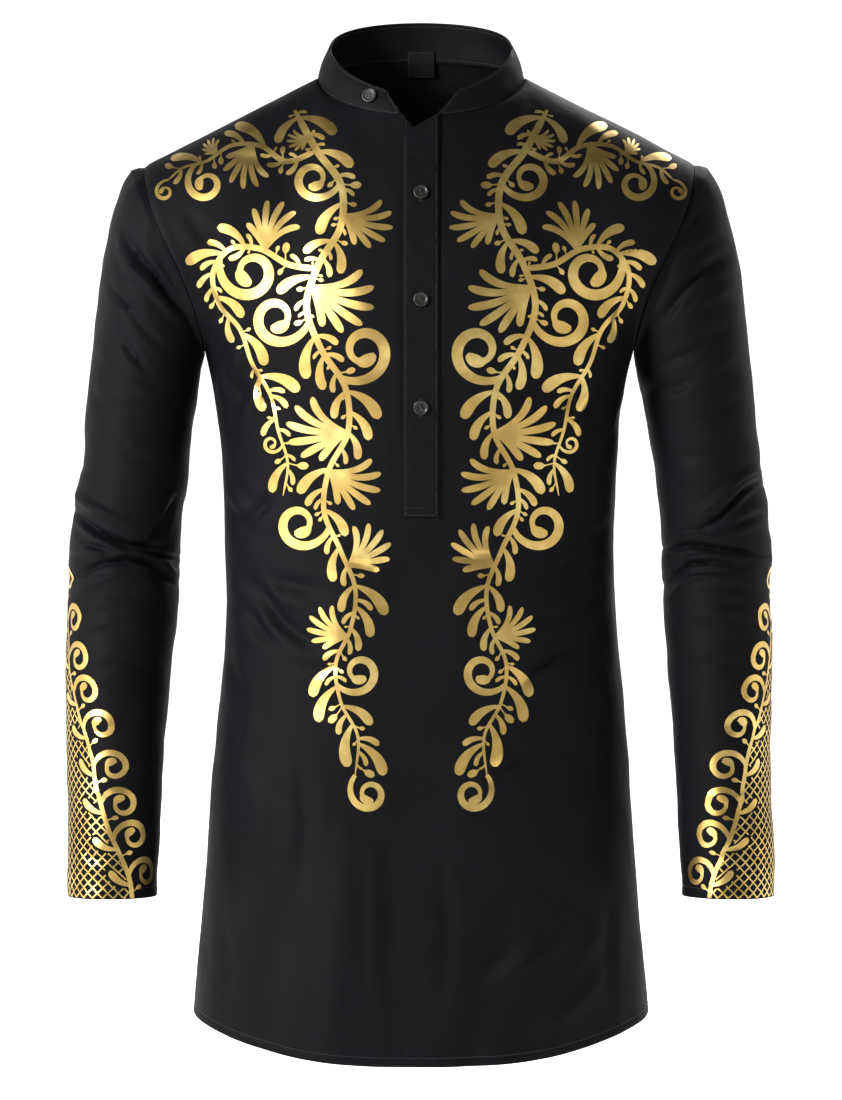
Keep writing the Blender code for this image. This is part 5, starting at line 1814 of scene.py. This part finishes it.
# The large motifs, listed one by one: vine, how far along it, side, angle, size and kind.
CHEST_FEATURES = [
    (0, 0.175, 1, 1.15, 50, "fan"), (0, 0.13, -1, 1.3, 36, "coil"), (0, 0.285, 1, 1.25, 56, "fan"),
    (0, 0.335, -1, 1.2, 44, "coil"), (0, 0.425, 1, 1.1, 46, "coil"), (0, 0.50, -1, 1.2, 52, "fan"),
    (0, 0.56, 1, 1.2, 46, "fan"), (0, 0.64, -1, 1.1, 40, "coil"), (0, 0.70, 1, 1.2, 42, "fan"),
    (0, 0.80, -1, 1.1, 36, "fan"), (0, 0.87, 1, 1.1, 34, "coil"), (0, 0.05, -1, 1.2, 32, "fan"),
    (1, 0.25, -1, 1.2, 36, "coil"), (1, 0.42, 1, 1.25, 40, "fan"), (1, 0.66, -1, 1.2, 34, "fan"),
    (1, 0.80, 1, 1.1, 32, "coil"),
    (2, 0.16, -1, 1.2, 44, "fan"), (2, 0.30, 1, 1.2, 46, "coil"), (2, 0.36, -1, 1.3, 36, "fan"),
    (2, 0.52, 1, 1.3, 44, "fan"), (2, 0.60, -1, 1.2, 36, "coil"), (2, 0.76, 1, 1.2, 38, "fan"),
    (2, 0.86, -1, 1.2, 30, "coil"),
]
CHEST_PATTERN = [("leaf", 37, 0.75), ("leaf", 35, 0.8), ("leaf", 30, 0.7), ("bud", 18, 0.9),
                 ("leaf", 34, 0.7)]
FILL_PATTERN = [("leaf", 19, 0.85), ("bud", 12, 1.0), ("leaf", 17, 0.95)]

chest = Drawing(CHEST_ZONE, 1.7 * MM)
chest_lines = []
for knots, thick, _ in CHEST_VINES:
    line, width = vine(knots, thick)
    chest_lines.append(line)
    chest.add([(line, width)])
chest.add(coil(chest_lines[0][-1], math.radians(-100), 30 * MM, 1, 1.3))
chest.add(coil(chest_lines[1][-1], math.radians(-150), 17 * MM, 1, 1.2))
grown = 0
for which, place, side, angle, size, kind in CHEST_FEATURES:
    grown += chest.grow_at(chest_lines[which], place, kind, angle, size * MM, side)
print(grown, "of", len(CHEST_FEATURES), "large motifs")
for line, (_, _, pitch) in zip(chest_lines, CHEST_VINES):
    chest.along_vine(line, CHEST_PATTERN, pitch * MM, 9 * MM)
for line in chest_lines:
    chest.along_vine(line, FILL_PATTERN, 11.0 * MM, 5 * MM)
print("chest strokes", len(chest.strokes))

# %% [markdown]
# ## The print on the sleeve ends
#
# A net of fine crossed lines fills a tall pointed field on the outer side of each sleeve, and a
# vine with coiled tendrils borders it on both sides. The field is drawn flat, as the sleeve is
# when it is cut: how far round the sleeve from its outer edge, and how high.

# %% The sleeve pattern
CUFF_TOP = -424
CUFF_FOOT = -683
CUFF_HALF = 82
NET_PITCH = 8.4
NET_CLEAR = 1.4 * MM
HOOK_PITCH = 31 * MM
NET_HALF_WIDTH = 0.58 * MM
# The net's lines start this much further out, so that they cross the whole field.
NET_BEYOND = 304
CUFF_TIP = 2.5
CUFF_SWAY = 2.5
CUFF_ZONE = [
    (1, -398), (16, -402), (40, -440), (66, -500), (88, -560), (108, -630), (114, -683), (1, -683)]
# What grows at each step of the border: kind, share of the vine before it, angle, size, side.
CUFF_MOTIFS = [
    ("coil", 0.0, 0.75, 27, -1), ("leaf", 0.03, 0.85, 22, 1), ("bud", 0.055, 0.9, 11, -1)]


def cuff_edge(z):
    """How far the border vine stands from the sleeve's outer edge, at a height in millimetres."""
    fall = np.clip((CUFF_TOP - z) / (CUFF_TOP - CUFF_FOOT), 0, 1)
    widening = CUFF_TIP + (CUFF_HALF - CUFF_TIP) * fall ** 0.85
    return widening + CUFF_SWAY * np.sin(fall * 15) * np.minimum(1, fall * 4)


cuff = Drawing(CUFF_ZONE, 1.3 * MM)
cuff_line = smooth_line([(cuff_edge(z), z) for z in np.linspace(CUFF_TOP, CUFF_FOOT, 24)])
cuff.add([(cuff_line, np.linspace(1.2, 2.0, len(cuff_line)) * MM)])
for place in np.arange(3 * MM, PRINT_STEP * (len(cuff_line) - 6), HOOK_PITCH):
    share = place / (PRINT_STEP * (len(cuff_line) - 1))
    for kind, before, angle, size, side in CUFF_MOTIFS:
        cuff.grow_at(cuff_line[::-1], 1 - share - before, kind, angle, size * MM, side)
net = []
for slope in (-1, 1):
    for start in np.arange(-CUFF_HALF - NET_BEYOND, CUFF_HALF + NET_BEYOND, NET_PITCH):
        z = np.arange(CUFF_FOOT, CUFF_TOP, 1.0)
        x = start + slope * (z - CUFF_FOOT)
        kept = np.abs(x) < cuff_edge(z) - 0.5
        folded = np.stack([np.abs(x), z], axis=-1) * MM
        for line, width in cuff.strokes[1:]:
            gaps = np.linalg.norm(folded[:, None] - line[None], axis=-1) - width[None]
            kept &= gaps.min(axis=1) > NET_CLEAR
        runs = np.flatnonzero(np.diff(np.concatenate([[0], kept.astype(int), [0]])))
        for first, last in zip(runs[::2], runs[1::2] - 1):
            if last - first < 2:
                continue
            count = max(int((last - first) * math.sqrt(2) / 2), 3)
            line = np.linspace((x[first], z[first]), (x[last], z[last]), count)
            net.append((line * MM, np.full(count, NET_HALF_WIDTH)))
print("sleeve strokes", len(cuff.strokes), "and", len(net), "net lines")

# %% Carrying the print onto the cloth
FOIL_LIFT = 0.16 * MM
# Strokes lie in nine thin layers by turns, so that few of those that cross share a plane.
FOIL_LAYERS = 9
FOIL_LAYER_IN_MM = 0.012


def ribbon(line, width):
    """A flat grid of points across a stroke."""
    run = np.gradient(line, axis=0)
    side = unit(np.stack([-run[:, 1], run[:, 0]], axis=-1))
    return line[:, None] + side[:, None] * (RIBBON_SHARES[None, :] * width[:, None])[..., None]


def cloth_tree(piece):
    """A search tree over a piece of cloth."""
    points = [vertex.co for vertex in piece.data.vertices]
    faces = [tuple(polygon.vertices) for polygon in piece.data.polygons]
    return BVHTree.FromPolygons(points, faces)


def print_piece(name, strokes, project):
    """All strokes of one print as one mesh of thin foil that lies on the cloth."""
    points, faces = [], []
    for number, (line, width) in enumerate(strokes):
        grid = ribbon(line, width)
        lift = FOIL_LIFT + (number % FOIL_LAYERS) * FOIL_LAYER_IN_MM * MM
        hits = [[project(place, lift) for place in row] for row in grid]
        numbers = np.full(grid.shape[:2], -1)
        for i, row in enumerate(hits):
            for j, hit in enumerate(row):
                if hit is not None:
                    numbers[i, j] = len(points)
                    points.append(hit)
        quads = numbers.reshape(-1)[grid_faces(*numbers.shape, closed=False).reshape(-1, 4)]
        faces += quads[quads.min(axis=1) >= 0].tolist()
    piece = mesh_piece(name, points, faces, gold_foil)
    print(name, len(piece.data.polygons), "faces")
    return piece


front_tree = cloth_tree(front_cloth)
sleeve_trees = {side: cloth_tree(piece) for side, piece in sleeves.items()}


def onto_front(side):
    """Carries a pattern point straight back onto the front; side 1 turns the pattern over."""
    def project(place, lift):
        start = Vector((-side * place[0], -0.4, place[1]))
        hit, normal, _, _ = front_tree.ray_cast(start, Vector((0, 1, 0)))
        return None if hit is None or hit.y > 0.02 else hit + normal * lift
    return project


def onto_sleeve(side):
    """Carries a pattern point onto the sleeve: round from its outer edge, and up."""
    grid = sleeve_grids[side]
    def project(place, lift):
        row = grid[np.abs(grid[:, :, 2].mean(axis=1) - place[1]).argmin()]
        middle = row.mean(axis=0)
        radius = (np.abs(row[:, 0] - middle[0]).max() + np.abs(row[:, 1] - middle[1]).max()) / 2
        turn = place[0] / radius
        way = Vector((side * math.cos(turn), -math.sin(turn), 0))
        start = Vector((middle[0], middle[1], place[1])) + way * 0.2
        hit, normal, _, _ = sleeve_trees[side].ray_cast(start, -way)
        return None if hit is None else hit + normal * lift
    return project


chest_foils, sleeve_foils = {}, {}
for side, word in SIDE_NAMES.items():
    chest_foils[side] = print_piece("chest_print_" + word, chest.strokes, onto_front(side))
    around = [(line * np.array([turn, 1.0]), width)
              for line, width in cuff.strokes for turn in (1, -1)]
    sleeve_foils[side] = print_piece("sleeve_print_" + word, around + net, onto_sleeve(side))

# %% [markdown]
# ## The pieces take the place of the solids
#
# Each piece hides the solid that it stands for and rides on the shirt's one body. For each cloth
# panel the size and the area that it was cut to are worked out and printed.

# %% Riding, and the cut sizes of the sheets
STANDS_FOR = [
    (front_cloth, "front_body", "cloth"), (back_cloth, "back_body", "cloth"),
    (sleeves[-1], "sleeve_left", "cloth"), (sleeves[1], "sleeve_right", "cloth"),
    (collar, "collar_band", "cloth"), (placket_over, "placket_over", "cloth"),
    (placket_under, "placket_under", "cloth"), (label, "neck_label", "label"),
] + [(piece, name, "button") for name, piece in buttons.items()]
for piece, node, slot in STANDS_FOR:
    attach(piece, "root")
    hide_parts(node)
TRIM = [body_hem, *cuff_hems.values(), band_stitches, placket_stitches, buttonholes, label_stitches,
        *button_threads]
for piece in TRIM:
    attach(piece, "root")
for piece in [*chest_foils.values(), *sleeve_foils.values()]:
    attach(piece, "root")

# Each sheet: the piece, its grid, whether it is a tube, how it is held, what it hangs from,
# and the pieces that go with it.
SHEETS = [
    (front_cloth, front_points, False, "hung", [collar], [*chest_foils.values(), body_hem]),
    (back_cloth, back_points, False, "hung", [collar], []),
    (sleeves[-1], sleeve_grids[-1], True, "hung", [front_cloth, back_cloth],
     [sleeve_foils[-1], cuff_hems[-1]]),
    (sleeves[1], sleeve_grids[1], True, "hung", [front_cloth, back_cloth],
     [sleeve_foils[1], cuff_hems[1]]),
    (collar, band_outer, False, "folded", [front_cloth, back_cloth], [band_stitches]),
    (placket_over, over_grid, False, "folded", [front_cloth], [placket_stitches, buttonholes]),
    (placket_under, under_grid, False, "folded", [front_cloth], []),
]
for piece, grid, tube, held, carriers, trim in SHEETS:
    flat, area = flat_cut(grid, tube)
    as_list(carriers)
    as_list(trim)
    print(piece.name, "cut", flat, "metres, area", area)
